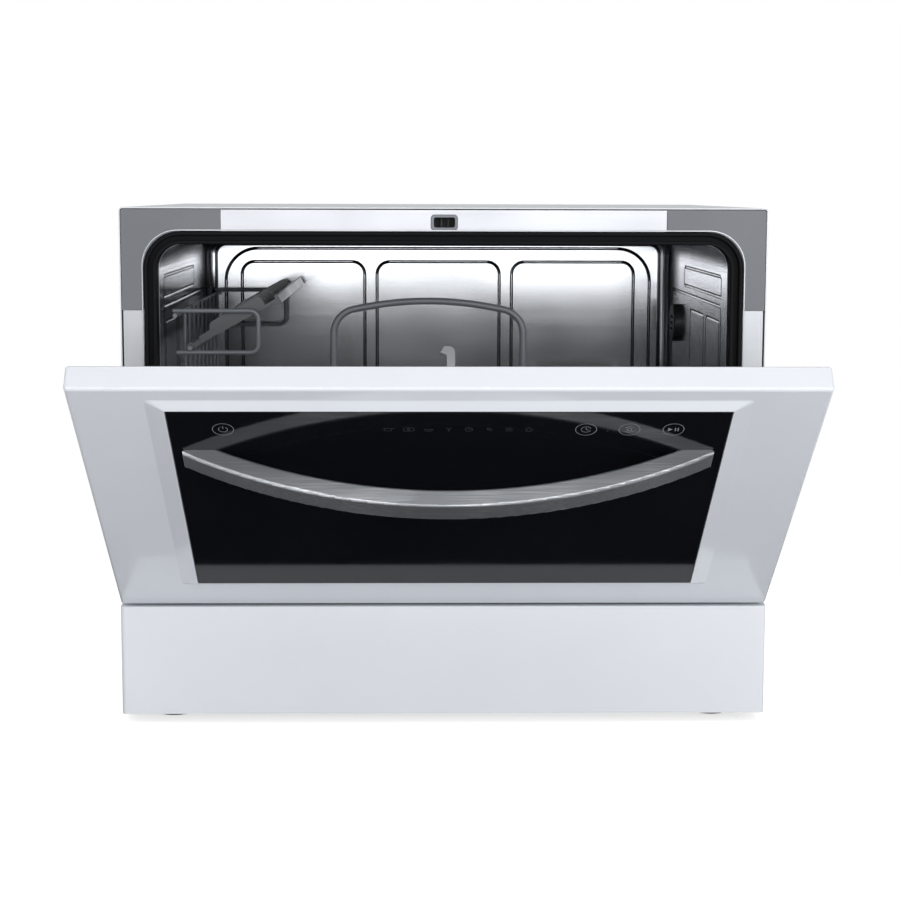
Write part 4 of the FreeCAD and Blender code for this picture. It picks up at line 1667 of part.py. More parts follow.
def make_cup_shelf():
    """The cup shelf on the basket's left side: two wire loops, two rods and the comb flap that folds."""
    wire, sink = num("shelf_wire"), num("weld_sink")
    top, low, edge = num("shelf_top"), num("shelf_base"), -num("shelf_edge")
    front, back = num("shelf_front"), num("shelf_back")
    rail_x = -num("basket_half - rim_wire + shelf_wire")
    rail_z, axis_z = top - 2 * wire + sink, low + 2 * wire - sink
    flap_x, end = -num("flap_axis"), num("shelf_rod_end")
    rods = ((rail_x, rail_z), (flap_x, axis_z))
    parts = [rod((x, front - end, z), (x, back + end, z), wire) for x, z in rods]
    bends = dict.fromkeys((1, 2), num("shelf_bend"))
    for y in (front, back):
        path = [(rail_x - wire, y, top), (edge, y, top), (edge, y, low), (rail_x + wire / 2, y, low)]
        parts.append(wire_tube(path, wire, bends))
    wire_node("cup_shelf_frame", parts)

    flap = node(doc.addObject("PartDesign::Body", "comb_flap"), "comb_flap")
    flap.Placement = FreeCAD.Placement(V(), FreeCAD.Rotation(V(0, -1, 0), num("flap_angle")))
    bind(flap, "Placement.Rotation.Angle", "flap_angle")
    hinge = (("x", "-flap_axis"), ("y", "front_shift"), ("z", "shelf_base + 2 * shelf_wire - weld_sink"))
    for axis, text in hinge:
        bind(flap, "Placement.Base." + axis, text)
    run = ("flap_front", "flap_back")
    pad(flap, "XZ", *run, disc("0", "0", "flap_barrel"))
    pad(flap, "XZ", *run, rect("flap_barrel - cut_over", "flap_width", "-flap_thick / 2", "flap_thick / 2"))
    pad(flap, "XZ", *run, rect("flap_width - flap_edge", "flap_width", "-flap_edge_half", "flap_edge_half",
                               "flap_edge_round"))
    cut(flap, "XZ", "flap_front - cut_over", "flap_back + cut_over", disc("0", "0", "shelf_wire + run_clear"))
    far = "flap_width - comb_end"
    tooth = pad(flap, "XZ", "flap_front + comb_thick / 2", "flap_front + comb_thick * 1.5", [
        ("comb_start", "0"), (far, "0"), (far, "comb_height", "comb_round"),
        ("comb_shoulder", "comb_height", "comb_round"), ("comb_shoulder", "comb_low"),
        ("comb_start", "comb_low"),
    ])
    teeth = flap.newObject("PartDesign::LinearPattern", "teeth")
    teeth.Originals = [tooth]
    teeth.Direction = (origin_item(flap, "Y_Axis"), [""])
    bind(teeth, "Length", "flap_back - flap_front - 2 * comb_thick")
    bind(teeth, "Occurrences", "comb_teeth")
    flap.Tip = teeth


def check_pieces():
    """Stop when a feature failed, a piece is unsound or a pocket takes nothing away."""
    faults = [
        "%s of %s" % (item.Name, item.getParent().Name if item.getParent() else "document")
        for item in doc.Objects if any(word in item.State for word in ("Invalid", "Error"))
    ]
    faults += [item.Label for item in NODES if item.Shape.isNull() or not item.Shape.isValid()]
    if faults:
        raise RuntimeError("unsound pieces: " + ", ".join(faults))
    for item in doc.Objects:
        base = getattr(item, "BaseFeature", None)
        if item.TypeId == "PartDesign::Pocket" and base and item.Shape.Volume >= base.Shape.Volume - 0.1:
            raise RuntimeError("%s of %s cuts nothing" % (item.Name, item.getParent().Label))


make_panels()
make_base()
make_tub()
make_front_trim()
make_hinges()
make_door()
make_dispenser()
make_springs()
make_washing_parts()
make_pumps()
make_fill_parts()
make_basket()
make_cup_shelf()
doc.recompute()
check_pieces()

os.makedirs("parts", exist_ok=True)
for item in NODES:
    item.Shape.exportStep(os.path.join("parts", item.Label + ".step"))
print(len(NODES), "pieces written")
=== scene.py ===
import json
import logging
import math
from dataclasses import dataclass, field, replace
from enum import Enum
from typing import Any, Iterable, Sequence

import bmesh
import bpy
from mathutils import Matrix, Vector


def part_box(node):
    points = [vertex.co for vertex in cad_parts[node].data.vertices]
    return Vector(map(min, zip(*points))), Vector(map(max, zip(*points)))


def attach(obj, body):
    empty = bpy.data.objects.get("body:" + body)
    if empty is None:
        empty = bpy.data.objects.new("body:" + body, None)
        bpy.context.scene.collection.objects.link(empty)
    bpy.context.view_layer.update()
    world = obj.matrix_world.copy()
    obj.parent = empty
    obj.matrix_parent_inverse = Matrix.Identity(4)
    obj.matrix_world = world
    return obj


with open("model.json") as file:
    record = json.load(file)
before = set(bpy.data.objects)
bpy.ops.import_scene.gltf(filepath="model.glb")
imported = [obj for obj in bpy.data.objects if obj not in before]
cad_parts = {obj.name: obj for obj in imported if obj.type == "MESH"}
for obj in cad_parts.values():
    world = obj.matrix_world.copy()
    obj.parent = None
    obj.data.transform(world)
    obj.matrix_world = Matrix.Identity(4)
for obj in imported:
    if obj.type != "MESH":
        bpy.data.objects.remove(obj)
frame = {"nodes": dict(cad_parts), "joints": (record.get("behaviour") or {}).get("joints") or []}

log = logging.getLogger("dishwasher")

MM = 0.001
Point = tuple[float, float]

# Cosine between a sheet's surface and its flat faces where the painted shade of a pressed line begins, and
# where it is full.
GROOVE_SHADE_BEGINS = 0.9997
GROOVE_SHADE_FULL = 0.994
# Values between which the grain and the patches of a finish range together.
BLEND_LOW = 0.3
BLEND_HIGH = 1.1


class Axis(Enum):
    """Direction that a rolled or brushed grain runs along, as the stretch of its pattern."""

    ACROSS = (0.02, 1.0, 1.0)
    DEPTH = (1.0, 0.02, 1.0)


def linear(hex_colour: str) -> tuple[float, float, float, float]:
    """Turn an sRGB hex colour into linear light.

    Args:
        hex_colour: Six hex digits, with or without a leading hash.

    Returns:
        Red, green, blue and full alpha.
    """
    digits = hex_colour.lstrip("#")
    channels = [int(digits[i:i + 2], 16) / 255 for i in (0, 2, 4)]
    values = [c / 12.92 if c <= 0.04045 else ((c + 0.055) / 1.055) ** 2.4 for c in channels]
    return values[0], values[1], values[2], 1.0


def add_node(
    tree: bpy.types.NodeTree,
    kind: str,
    settings: dict[str, Any] | None = None,
    inputs: dict[Any, Any] | None = None,
) -> bpy.types.Node:
    """Add a shader node with its settings, and fill or link its inputs.

    Args:
        tree: Node tree of the material.
        kind: Blender's name of the node type.
        settings: Attributes of the node.
        inputs: Socket name or number to a value, or to the output socket that feeds it.

    Returns:
        The new node.
    """
    node = tree.nodes.new(kind)
    for name, value in (settings or {}).items():
        setattr(node, name, value)
    for name, value in (inputs or {}).items():
        if isinstance(value, bpy.types.NodeSocket):
            tree.links.new(value, node.inputs[name])
        else:
            node.inputs[name].default_value = value
    return node


@dataclass(frozen=True)
class Finish:
    """A material with its colour, gloss and the grain of its surface.

    grain_mm is the size of the surface's own texture, relief_mm how deep that texture stands, mottle how
    far the colour wanders, wander how far the roughness does, and patch_mm the size of the soft patches in
    both. Where flat gives the way that a sheet faces, its pressed lines get painted shade in the groove_shade
    colour, but not the bends nearer to the middle than flat_at metres.
    """

    name: str
    colour: str
    second: str
    roughness: float
    metallic: float = 0.0
    specular: float = 0.5
    coat: float = 0.0
    coat_roughness: float = 0.1
    grain_mm: float = 2.0
    relief_mm: float = 0.02
    mottle: float = 0.5
    wander: float = 0.06
    stretch: tuple[float, float, float] = (1.0, 1.0, 1.0)
    patch_mm: float = 90.0
    flat: tuple[float, float, float] | None = None
    flat_at: float = 0.0
    # Painted shade that the pressed lines take, standing for the dark that their grooves reflect.
    groove_shade: str = "#2A2B2E"

    def pressed(
        self, tree: bpy.types.NodeTree, place: bpy.types.Node, colour: bpy.types.NodeSocket
    ) -> bpy.types.NodeSocket:
        """Paint shade into the pressed lines of a sheet, where its surface turns away from its flat faces.

        Args:
            tree: Node tree of the material.
            place: Its texture coordinate node.
            colour: Colour of the flat sheet.

        Returns:
            The colour with painted shade in its pressed lines.
        """
        if self.flat is None:
            return colour
        # Painted shade: the colour turns dark where the surface turns away from the sheet's flat faces.
        facing = add_node(
            tree, "ShaderNodeVectorMath", {"operation": "DOT_PRODUCT"},
            {0: place.outputs["Normal"], 1: self.flat},
        )
        level = add_node(tree, "ShaderNodeMath", {"operation": "ABSOLUTE"}, {0: facing.outputs["Value"]})
        turned = add_node(
            tree, "ShaderNodeMapRange",
            inputs={
                "Value": level.outputs[0], "From Min": GROOVE_SHADE_FULL, "From Max": GROOVE_SHADE_BEGINS,
                "To Min": 1.0, "To Max": 0.0,
            },
        )
        depth = add_node(
            tree, "ShaderNodeVectorMath", {"operation": "DOT_PRODUCT"},
            {0: place.outputs["Object"], 1: self.flat},
        )
        reach = add_node(tree, "ShaderNodeMath", {"operation": "ABSOLUTE"}, {0: depth.outputs["Value"]})
        sheet = add_node(
            tree, "ShaderNodeMath", {"operation": "GREATER_THAN"}, {0: reach.outputs[0], 1: self.flat_at},
        )
        line = add_node(
            tree, "ShaderNodeMath", {"operation": "MULTIPLY"},
            {0: turned.outputs["Result"], 1: sheet.outputs[0]},
        )
        with_groove_shade = add_node(
            tree, "ShaderNodeMix", {"data_type": "RGBA"},
            {"Factor": line.outputs[0], 6: colour, 7: linear(self.groove_shade)},
        )
        return with_groove_shade.outputs[2]

    def build(self) -> bpy.types.Material:
        """Make the material.

        Returns:
            A node material whose colour, roughness and relief follow its grain.
        """
        material = bpy.data.materials.new(self.name)
        material.use_nodes = True
        tree = material.node_tree
        tree.nodes.clear()
        place = add_node(tree, "ShaderNodeTexCoord")
        lie = add_node(
            tree, "ShaderNodeMapping", inputs={"Vector": place.outputs["Object"], "Scale": self.stretch},
        )
        grain = add_node(
            tree, "ShaderNodeTexNoise",
            inputs={
                "Vector": lie.outputs["Vector"], "Scale": 1 / (self.grain_mm * MM),
                "Detail": 3.0, "Roughness": 0.6,
            },
        )
        patch = add_node(
            tree, "ShaderNodeTexNoise",
            inputs={"Vector": place.outputs["Object"], "Scale": 1 / (self.patch_mm * MM), "Detail": 2.0},
        )
        blend = add_node(
            tree, "ShaderNodeMath", {"operation": "MULTIPLY_ADD"},
            {0: grain.outputs["Fac"], 1: self.mottle, 2: patch.outputs["Fac"]},
        )
        tint = add_node(
            tree, "ShaderNodeMapRange",
            inputs={"Value": blend.outputs[0], "From Min": BLEND_LOW, "From Max": BLEND_HIGH},
        )
        colour = add_node(
            tree, "ShaderNodeMix", {"data_type": "RGBA"},
            {"Factor": tint.outputs["Result"], 6: linear(self.colour), 7: linear(self.second)},
        )
        gloss = add_node(
            tree, "ShaderNodeMapRange",
            inputs={
                "Value": blend.outputs[0], "From Min": BLEND_LOW, "From Max": BLEND_HIGH,
                "To Min": max(self.roughness - self.wander, 0.02), "To Max": self.roughness + self.wander,
            },
        )
        relief = add_node(
            tree, "ShaderNodeBump",
            inputs={"Strength": 0.6, "Distance": self.relief_mm * MM, "Height": grain.outputs["Fac"]},
        )
        surface = add_node(
            tree, "ShaderNodeBsdfPrincipled",
            inputs={
                "Base Color": self.pressed(tree, place, colour.outputs[2]),
                "Roughness": gloss.outputs["Result"], "Metallic": self.metallic,
                "Specular IOR Level": self.specular, "Coat Weight": self.coat,
                "Coat Roughness": self.coat_roughness, "Normal": relief.outputs["Normal"],
            },
        )
        add_node(tree, "ShaderNodeOutputMaterial", inputs={"Surface": surface.outputs["BSDF"]})
        return material


class Finishes:
    """Every finish of the machine, made once and kept by name."""

    # Grains finer than about 1 mm, such as brushing and spark texture, are drawn that coarse to show at all.
    # Powder-coated steel sheet: an even white with a fine orange peel that softens its highlights.
    PANEL = Finish("powder_coated_steel", "#E1E5EA", "#DCE0E5", 0.42, coat=0.1, coat_roughness=0.3,
                   grain_mm=2.4, relief_mm=0.012, mottle=0.2, wander=0.03)
    # Gloss-moulded ABS: a bluish white that mirrors softly, with hardly any texture.
    DOOR = Finish("gloss_moulded_abs", "#DFE3E9", "#DADEE4", 0.22, coat=0.5, coat_roughness=0.06,
                  grain_mm=3.0, relief_mm=0.006, mottle=0.15, wander=0.03)
    # Back-printed float glass: black with a clear smooth face and a faint smear of handling.
    GLASS = Finish("black_printed_glass", "#0B0C0F", "#101115", 0.06, specular=0.45,
                   grain_mm=14.0, relief_mm=0.0, mottle=0.3, wander=0.02)
    # Bright rolled stainless steel: nearly a mirror, with faint rolling lines that blur along the sheet.
    TUB = Finish("bright_rolled_stainless", "#BEC0C4", "#B4B6BA", 0.17, metallic=1.0,
                 grain_mm=3.0, relief_mm=0.004, mottle=0.5, wander=0.04, stretch=Axis.ACROSS.value)
    # The same sheet on the back wall: its pressed lines are sharp and carry painted shade as dark strokes.
    BACK = replace(TUB, name="pressed_stainless_back_painted_shade", flat=(0.0, 1.0, 0.0), flat_at=0.31)
    # The same sheet on the side walls: framed panels, painted lighter than the tub's steel for the light they
    # catch, with painted shade in their pressed lines; their rolling lines run along the depth.
    SIDE = replace(TUB, name="pressed_stainless_side_painted_light_and_shade", colour="#D8DADE", second="#CED0D4",
                   stretch=Axis.DEPTH.value, flat=(1.0, 0.0, 0.0))
    # Satin-polished stainless steel: a flat bright edge that shows the lamp as a soft white glow.
    FLANGE = Finish("polished_stainless", "#9D9FA3", "#95979B", 0.34, metallic=1.0,
                    grain_mm=2.0, relief_mm=0.004, mottle=0.4, wander=0.04, stretch=Axis.ACROSS.value)
    # Brushed stainless steel: fine straight scratches along the bar spread the light across it.
    BRUSHED = Finish("brushed_stainless", "#DADCDF", "#96999D", 0.36, metallic=0.8,
                     grain_mm=0.9, relief_mm=0.05, mottle=1.2, wander=0.09, stretch=Axis.ACROSS.value)
    # Zinc-plated steel: a dull grey metal with a slight spangle.
    ZINC = Finish("zinc_plated_steel", "#A9ACB0", "#8F9296", 0.38, metallic=1.0,
                  grain_mm=4.0, relief_mm=0.02, mottle=0.8, wander=0.08)
    # Nickel-plated cast latch: bright, smooth and slightly wavy.
    NICKEL = Finish("nickel_plated_zinc", "#B4B6BA", "#A2A5A9", 0.18, metallic=1.0,
                    grain_mm=6.0, relief_mm=0.02, mottle=0.4, wander=0.05)
    # Satin nickel of the latch's frame: a darker metal that stands out from the flange.
    BEZEL = Finish("satin_nickel", "#5A5D61", "#4C4F53", 0.3, metallic=1.0,
                   grain_mm=1.5, relief_mm=0.01, mottle=0.5, wander=0.05)
    # Extruded EPDM: a matt near-black that keeps a faint sheen on its lips.
    GASKET = Finish("extruded_epdm", "#0F1012", "#141517", 0.62, specular=0.1,
                    grain_mm=1.2, relief_mm=0.03, mottle=0.6)
    # Moulded rubber: matt black with a little dust.
    FOOT = Finish("moulded_rubber", "#1C1C1D", "#2A2A2B", 0.8, specular=0.3,
                  grain_mm=1.6, relief_mm=0.06, mottle=0.8)
    # Spark-textured ABS: an even mid grey that scatters light.
    TRIM = Finish("textured_abs", "#75787D", "#6F7277", 0.55, grain_mm=0.8, relief_mm=0.03, mottle=0.5)
    # Moulded polypropylene: satin grey with soft flow marks.
    GREY = Finish("moulded_polypropylene", "#9A9DA1", "#8D9094", 0.42,
                  grain_mm=1.4, relief_mm=0.03, mottle=0.5)
    # Gloss-moulded polypropylene: dark, with bright edges along its ribs.
    COMB = Finish("gloss_polypropylene", "#3E4145", "#303337", 0.32,
                  grain_mm=1.4, relief_mm=0.02, mottle=0.5)
    # Glass-filled nylon: matt black with a faint fibre mottle.
    BLACK = Finish("glass_filled_nylon", "#191A1C", "#242528", 0.48,
                   grain_mm=1.1, relief_mm=0.04, mottle=0.7)
    # Nylon-coated wire: smooth mid grey with soft round highlights.
    WIRE = Finish("nylon_coated_wire", "#666A70", "#595D63", 0.36, grain_mm=1.8, relief_mm=0.03, mottle=0.5)
    # Talc-filled polypropylene: dull and dark.
    PAN = Finish("filled_polypropylene", "#4A4C4F", "#3E4043", 0.6, grain_mm=1.5, relief_mm=0.05, mottle=0.7)
    # Moulded acetal: pale and waxy, with soft highlights.
    ACETAL = Finish("moulded_acetal", "#C9CBCD", "#BDBFC2", 0.36, grain_mm=2.0, relief_mm=0.02, mottle=0.5)
    # Solder-masked board: glossy green over a woven base.
    BOARD = Finish("solder_masked_board", "#1E5A33", "#17492A", 0.3,
                   grain_mm=0.8, relief_mm=0.02, mottle=0.8)
    # Screen print: a pale grey ink, slightly broken in its tone.
    PRINT = Finish("screen_print_ink", "#8A8E93", "#7A7E83", 0.5, grain_mm=0.4, relief_mm=0.0, mottle=0.8)
    # The same ink where the lamp behind it is off: hardly lighter than the glass.
    FAINT = replace(PRINT, name="unlit_screen_print", colour="#3A3D42", second="#303338")

    def __init__(self) -> None:
        """Start with nothing made."""
        self.made: dict[str, bpy.types.Material] = {}

    def get(self, finish: Finish) -> bpy.types.Material:
        """Give the material of a finish, made on first use.

        Args:
            finish: The finish.

        Returns:
            Its material.
        """
        if finish.name not in self.made:
            self.made[finish.name] = finish.build()
        return self.made[finish.name]


finishes = Finishes()


def dress(finish: Finish, names: Iterable[str]) -> None:
    """Give CAD nodes a finish.

    Args:
        finish: The finish they get.
        names: Names of the nodes.
    """
    material = finishes.get(finish)
    for name in names:
        mesh = frame["nodes"][name].data
        mesh.materials.clear()
        mesh.materials.append(material)
        log.info("%s: %s", name, finish.name)


def new_piece(name: str, mesh: bmesh.types.BMesh, finish: Finish, body: str) -> bpy.types.Object:
    """Make an object of a mesh, dress it and let it ride on a body.

    Args:
        name: Name of the piece.
        mesh: Its geometry in the part's frame.
        finish: Its finish.
        body: The body that it moves with.

    Returns:
        The object.
    """
    data = bpy.data.meshes.new(name)
    mesh.to_mesh(data)
    mesh.free()
    data.materials.append(finishes.get(finish))
    item = bpy.data.objects.new(name, data)
    bpy.context.scene.collection.objects.link(item)
    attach(item, body)
    log.info("%s rides on %s", name, body)
    return item


@dataclass
class DoorFrame:
    """The door's own frame: across, back from its face and up from its lower edge, in millimetres.

    hinge_inset and hinge_rise give the hinge in that frame. The door's joint says where the hinge is and, by
    the way back to shut, how far the door is open.
    """

    hinge_inset: float = 10.0
    hinge_rise: float = 10.0

    def matrix(self) -> Matrix:
        """Give the matrix from the door's frame in millimetres to the part's frame in metres.

        Returns:
            A 4 by 4 matrix that opens the door to its place at rest.
        """
        joint = next(j for j in frame["joints"] if j["name"] == "door_hinge")
        hinge = Matrix.Translation(Vector(joint["pos_m"]))
        shut, _ = joint["range_deg"]
        turn = Matrix.Rotation(math.radians(-shut), 4, "X")
        inset = Matrix.Translation(Vector((0, -self.hinge_inset * MM, -self.hinge_rise * MM)))
        return hinge @ turn @ inset @ Matrix.Scale(MM, 4)


@dataclass
class TouchMarks:
    """Printed keys and programme signs on the black glass, in the door's frame.

    depth is the glass's face and lift the ink's height over it. keys are the places of the key rings along
    the row, and the signs start at sign_start. A pair of dots stands between the clock and programme keys.
    """

    depth: float = -4.3
    lift: float = 0.06
    row: float = 284.9
    ring: float = 7.7
    line: float = 0.5
    fine: float = 0.45
    keys: tuple[float, ...] = (-164.9, 100.0, 131.7, 164.0)
    sign_start: float = -44.3
    sign_pitch: float = 14.65
    dots: float = 115.9
    dot_rise: float = 1.6
    dot_radius: float = 0.5
    dot_line: float = 0.5
    frame: DoorFrame = field(default_factory=DoorFrame)

    def stroke(
        self, mesh: bmesh.types.BMesh, points: Sequence[Point], width: float, closed: bool = False
    ) -> None:
        """Lay a flat ribbon of ink along points.

        Args:
            mesh: Mesh that takes the ribbon.
            points: Places on the glass, across and up.
            width: Width of the ribbon.
            closed: Whether the ribbon joins its own start.
        """
        spots = [Vector(p) for p in points]
        count = len(spots)
        edges: list[tuple[Any, Any]] = []
        for i, spot in enumerate(spots):
            before = spots[i - 1] if i or closed else spot
            after = spots[(i + 1) % count] if i < count - 1 or closed else spot
            way = (after - before).normalized()
            side = Vector((-way.y, way.x)) * width / 2
            pair = [mesh.verts.new((p.x, self.depth - self.lift, p.y)) for p in (spot + side, spot - side)]
            edges.append((pair[0], pair[1]))
        runs = count if closed else count - 1
        for i in range(runs):
            (a, b), (c, d) = edges[i], edges[(i + 1) % count]
            mesh.faces.new((a, b, d, c))

    def arc(self, middle: Point, radius: float, start: float, end: float, steps: int = 28) -> list[Point]:
        """Give points along an arc.

        Args:
            middle: Centre on the glass.
            radius: Radius.
            start: First angle in degrees from the right.
            end: Last angle in degrees.
            steps: Number of pieces.

        Returns:
            Points from start to end.
        """
        angles = [math.radians(start + (end - start) * i / steps) for i in range(steps + 1)]
        return [(middle[0] + radius * math.cos(a), middle[1] + radius * math.sin(a)) for a in angles]

    def circle(
        self, mesh: bmesh.types.BMesh, middle: Point, radius: float, width: float, steps: int = 28
    ) -> None:
        """Print a closed ring."""
        self.stroke(mesh, self.arc(middle, radius, 0, 360, steps)[:-1], width, closed=True)

    def fill(self, mesh: bmesh.types.BMesh, corners: Sequence[Point]) -> None:
        """Print a filled shape."""
        mesh.faces.new([mesh.verts.new((x, self.depth - self.lift, z)) for x, z in corners])

    def power(self, mesh: bmesh.types.BMesh, x: float, z: float) -> None:
        """Print the stroke and broken ring of a power key."""
        self.stroke(mesh, self.arc((x, z), 3.3, 125, 415), self.line)
        self.stroke(mesh, [(x, z + 0.6), (x, z + 4.4)], self.line)

    def clock(self, mesh: bmesh.types.BMesh, x: float, z: float) -> None:
        """Print a clock face for the delay key."""
        self.stroke(mesh, self.arc((x, z), 3.6, 20, 340), self.line)
        self.stroke(mesh, [(x, z + 2.4), (x, z), (x + 2.0, z - 0.8)], self.line)

    def cycle(self, mesh: bmesh.types.BMesh, x: float, z: float) -> None:
        """Print a plate between two arcs for the programme key.

        Args:
            mesh: Mesh that takes the ink.
            x: Middle of the key across the door.
            z: Middle of the key up the door.
        """
        self.circle(mesh, (x, z), 1.7, self.line)
        self.stroke(mesh, self.arc((x, z), 3.7, 35, 145), self.line)
        self.stroke(mesh, self.arc((x, z), 3.7, 215, 325), self.line)

    def start_pause(self, mesh: bmesh.types.BMesh, x: float, z: float) -> None:
        """Print the triangle and two bars of a start and pause key.

        Args:
            mesh: Mesh that takes the ink.
            x: Middle of the key across the door.
            z: Middle of the key up the door.
        """
        self.fill(mesh, [(x - 4.0, z - 2.3), (x - 0.4, z), (x - 4.0, z + 2.3)])
        for bar in (1.4, 3.4):
            self.stroke(mesh, [(x + bar, z - 2.2), (x + bar, z + 2.2)], 0.9)

    def pot(self, mesh: bmesh.types.BMesh, x: float, z: float) -> None:
        """Print the faint sign of a pot with its rim."""
        self.stroke(mesh, [(x - 3, z + 1), (x - 3, z - 2), (x + 2, z - 2), (x + 2, z + 1)], self.fine)
        self.stroke(mesh, [(x - 4.2, z + 1), (x + 4.2, z + 1)], self.fine)

    def plates(self, mesh: bmesh.types.BMesh, x: float, z: float) -> None:
        """Print the faint sign of two plates that overlap."""
        for shift in (-1.6, 1.6):
            self.circle(mesh, (x + shift, z), 2.4, self.fine)

    def bowl(self, mesh: bmesh.types.BMesh, x: float, z: float) -> None:
        """Print the faint sign of a bowl with its rim."""
        self.stroke(mesh, [(x - 3.4, z), (x + 3.4, z)], self.fine)
        self.stroke(mesh, self.arc((x, z + 0.4), 3.0, 180, 360), self.fine)

    def stemmed_glass(self, mesh: bmesh.types.BMesh, x: float, z: float) -> None:
        """Print the faint sign of a glass on its stem."""
        self.stroke(mesh, [(x - 1.8, z + 2.6), (x, z - 0.4), (x + 1.8, z + 2.6)], self.fine)
        self.stroke(mesh, [(x, z - 0.4), (x, z - 2.8)], self.fine)

    def dial(self, mesh: bmesh.types.BMesh, x: float, z: float) -> None:
        """Print the faint sign of a dial with two hands."""
        self.circle(mesh, (x, z), 2.6, self.fine)
        self.stroke(mesh, [(x, z + 1.6), (x, z), (x + 1.4, z)], self.fine)

    def leaf(self, mesh: bmesh.types.BMesh, x: float, z: float) -> None:
        """Print the faint sign of a leaf between two arcs."""
        self.stroke(mesh, self.arc((x - 1.5, z - 1.5), 3.6, 0, 90), self.fine)
        self.stroke(mesh, self.arc((x + 2.1, z + 2.1), 3.6, 180, 270), self.fine)

    def lines(self, mesh: bmesh.types.BMesh, x: float, z: float) -> None:
        """Print the faint sign of three lines."""
        for rise in (-2.0, 0.0, 2.0):
            self.stroke(mesh, [(x - 2.6, z + rise), (x + 2.6, z + rise)], self.fine)

    def drop(self, mesh: bmesh.types.BMesh, x: float, z: float) -> None:
        """Print the faint sign of a drop."""
        self.stroke(mesh, self.arc((x, z - 0.6), 2.2, 140, 400), self.fine)
        self.stroke(mesh, [(x - 1.7, z + 0.9), (x, z + 3.2), (x + 1.7, z + 0.9)], self.fine)

    def build(self) -> None:
        """Print every key and sign on the glass."""
        keys = bmesh.new()
        for x, drawing in zip(self.keys, (self.power, self.clock, self.cycle, self.start_pause)):
            self.circle(keys, (x, self.row), self.ring, self.line, steps=48)
            drawing(keys, x, self.row)
        bmesh.ops.transform(keys, matrix=self.frame.matrix(), verts=keys.verts)
        new_piece("touch_keys", keys, Finishes.PRINT, "door")
        faint = bmesh.new()
        signs = (
            self.pot, self.plates, self.bowl, self.stemmed_glass, self.dial, self.leaf, self.lines, self.drop,
        )
        for i, sign in enumerate(signs):
            sign(faint, self.sign_start + self.sign_pitch * i, self.row)
        for rise in (-self.dot_rise, self.dot_rise):
            self.circle(faint, (self.dots, self.row + rise), self.dot_radius, self.dot_line, steps=10)
        bmesh.ops.transform(faint, matrix=self.frame.matrix(), verts=faint.verts)
        new_piece("programme_signs", faint, Finishes.FAINT, "door")


@dataclass
class Cabinet:
    """Painted outer panels, base moulding, feet and ports."""

    panels: tuple[str, ...] = ("top_panel", "left_side_panel", "right_side_panel", "back_panel", "kick_plate")
    dark: tuple[str, ...] = ("cord_gland", "inlet_valve", "drain_pipe", "inlet_hose")

    def dress(self) -> None:
        """Give the cabinet its finishes."""
        dress(Finishes.PANEL, self.panels)
        dress(Finishes.PAN, ("base_pan",))
        dress(Finishes.FOOT, ("rubber_feet",))
        dress(Finishes.BLACK, self.dark)
        dress(Finishes.ZINC, ("panel_screws", "left_hinge_bracket", "right_hinge_bracket", "hinge_pins"))


@dataclass
class RolledEdge:
    """Rolled inner edge of the steel flange round the gasket, in millimetres.

    It runs clear of the gasket's outside, with the corner as the radius of its centre line. sunk is how far
    it starts behind the flange's face, and shoulder and crest are how far its side and its top stand in front
    of that face. land is half the width of the flat on the crest.
    """

    clear: float = 1.1
    corner: float = 30.2
    sunk: float = 0.014
    shoulder: float = 1.786
    crest: float = 1.986
    width: float = 1.1
    land: float = 0.4
    steps: int = 12

    def path(self) -> list[tuple[Vector, Vector]]:
        """Give the edge's centre line, worked out from the gasket's box.

        Returns:
            Points across and up, each with the way out from the mouth.
        """
        low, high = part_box("tub_gasket")
        across = high[0] / MM + self.clear - self.corner
        rise = (high[2] - low[2]) / MM / 2 + self.clear - self.corner
        middle = (high[2] + low[2]) / MM / 2
        spots = []
        for quarter, (x, z) in enumerate(((1, 1), (-1, 1), (-1, -1), (1, -1))):
            for step in range(self.steps + 1):
                turn = math.radians(90 * (quarter + step / self.steps))
                out = Vector((math.cos(turn), math.sin(turn)))
                spots.append((Vector((x * across, middle + z * rise)) + out * self.corner, out))
        return spots

    def build(self) -> None:
        """Roll the edge round the mouth."""
        side = self.width / 2
        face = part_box("tub_front_frame")[0][1] / MM
        half = ((side, face + self.sunk), (side, face - self.shoulder), (self.land, face - self.crest))
        profile = [(-offset, y) for offset, y in half] + list(reversed(half))
        mesh = bmesh.new()
        rings = []
        for spot, out in self.path():
            places = [(spot + out * offset, y) for offset, y in profile]
            rings.append([mesh.verts.new((p.x * MM, y * MM, p.y * MM)) for p, y in places])
        for ring, following in zip(rings, rings[1:] + rings[:1]):
            for i in range(len(profile)):
                j = (i + 1) % len(profile)
                mesh.faces.new((ring[i], ring[j], following[j], following[i]))
        bmesh.ops.recalc_face_normals(mesh, faces=mesh.faces)
        new_piece("rolled_flange_edge", mesh, Finishes.FLANGE, "cabinet")


@dataclass
class Tub:
    """Stainless tub, its gasket and the trim round its mouth."""

    sheets: tuple[str, ...] = ("tub_roof", "tub_floor", "filter_plate")

    def dress(self) -> None:
        """Give the tub its finishes."""
        dress(Finishes.TUB, self.sheets)
        dress(Finishes.BACK, ("tub_back_wall",))
        dress(Finishes.SIDE, ("tub_left_wall", "tub_right_wall"))
        dress(Finishes.FLANGE, ("tub_front_frame",))
        dress(Finishes.GASKET, ("tub_gasket",))
        dress(Finishes.TRIM, ("left_corner_cover", "right_corner_cover"))
        dress(Finishes.BLACK, ("latch_housing", "vent_cap"))
        dress(Finishes.BEZEL, ("latch_bezel",))
        RolledEdge().build()


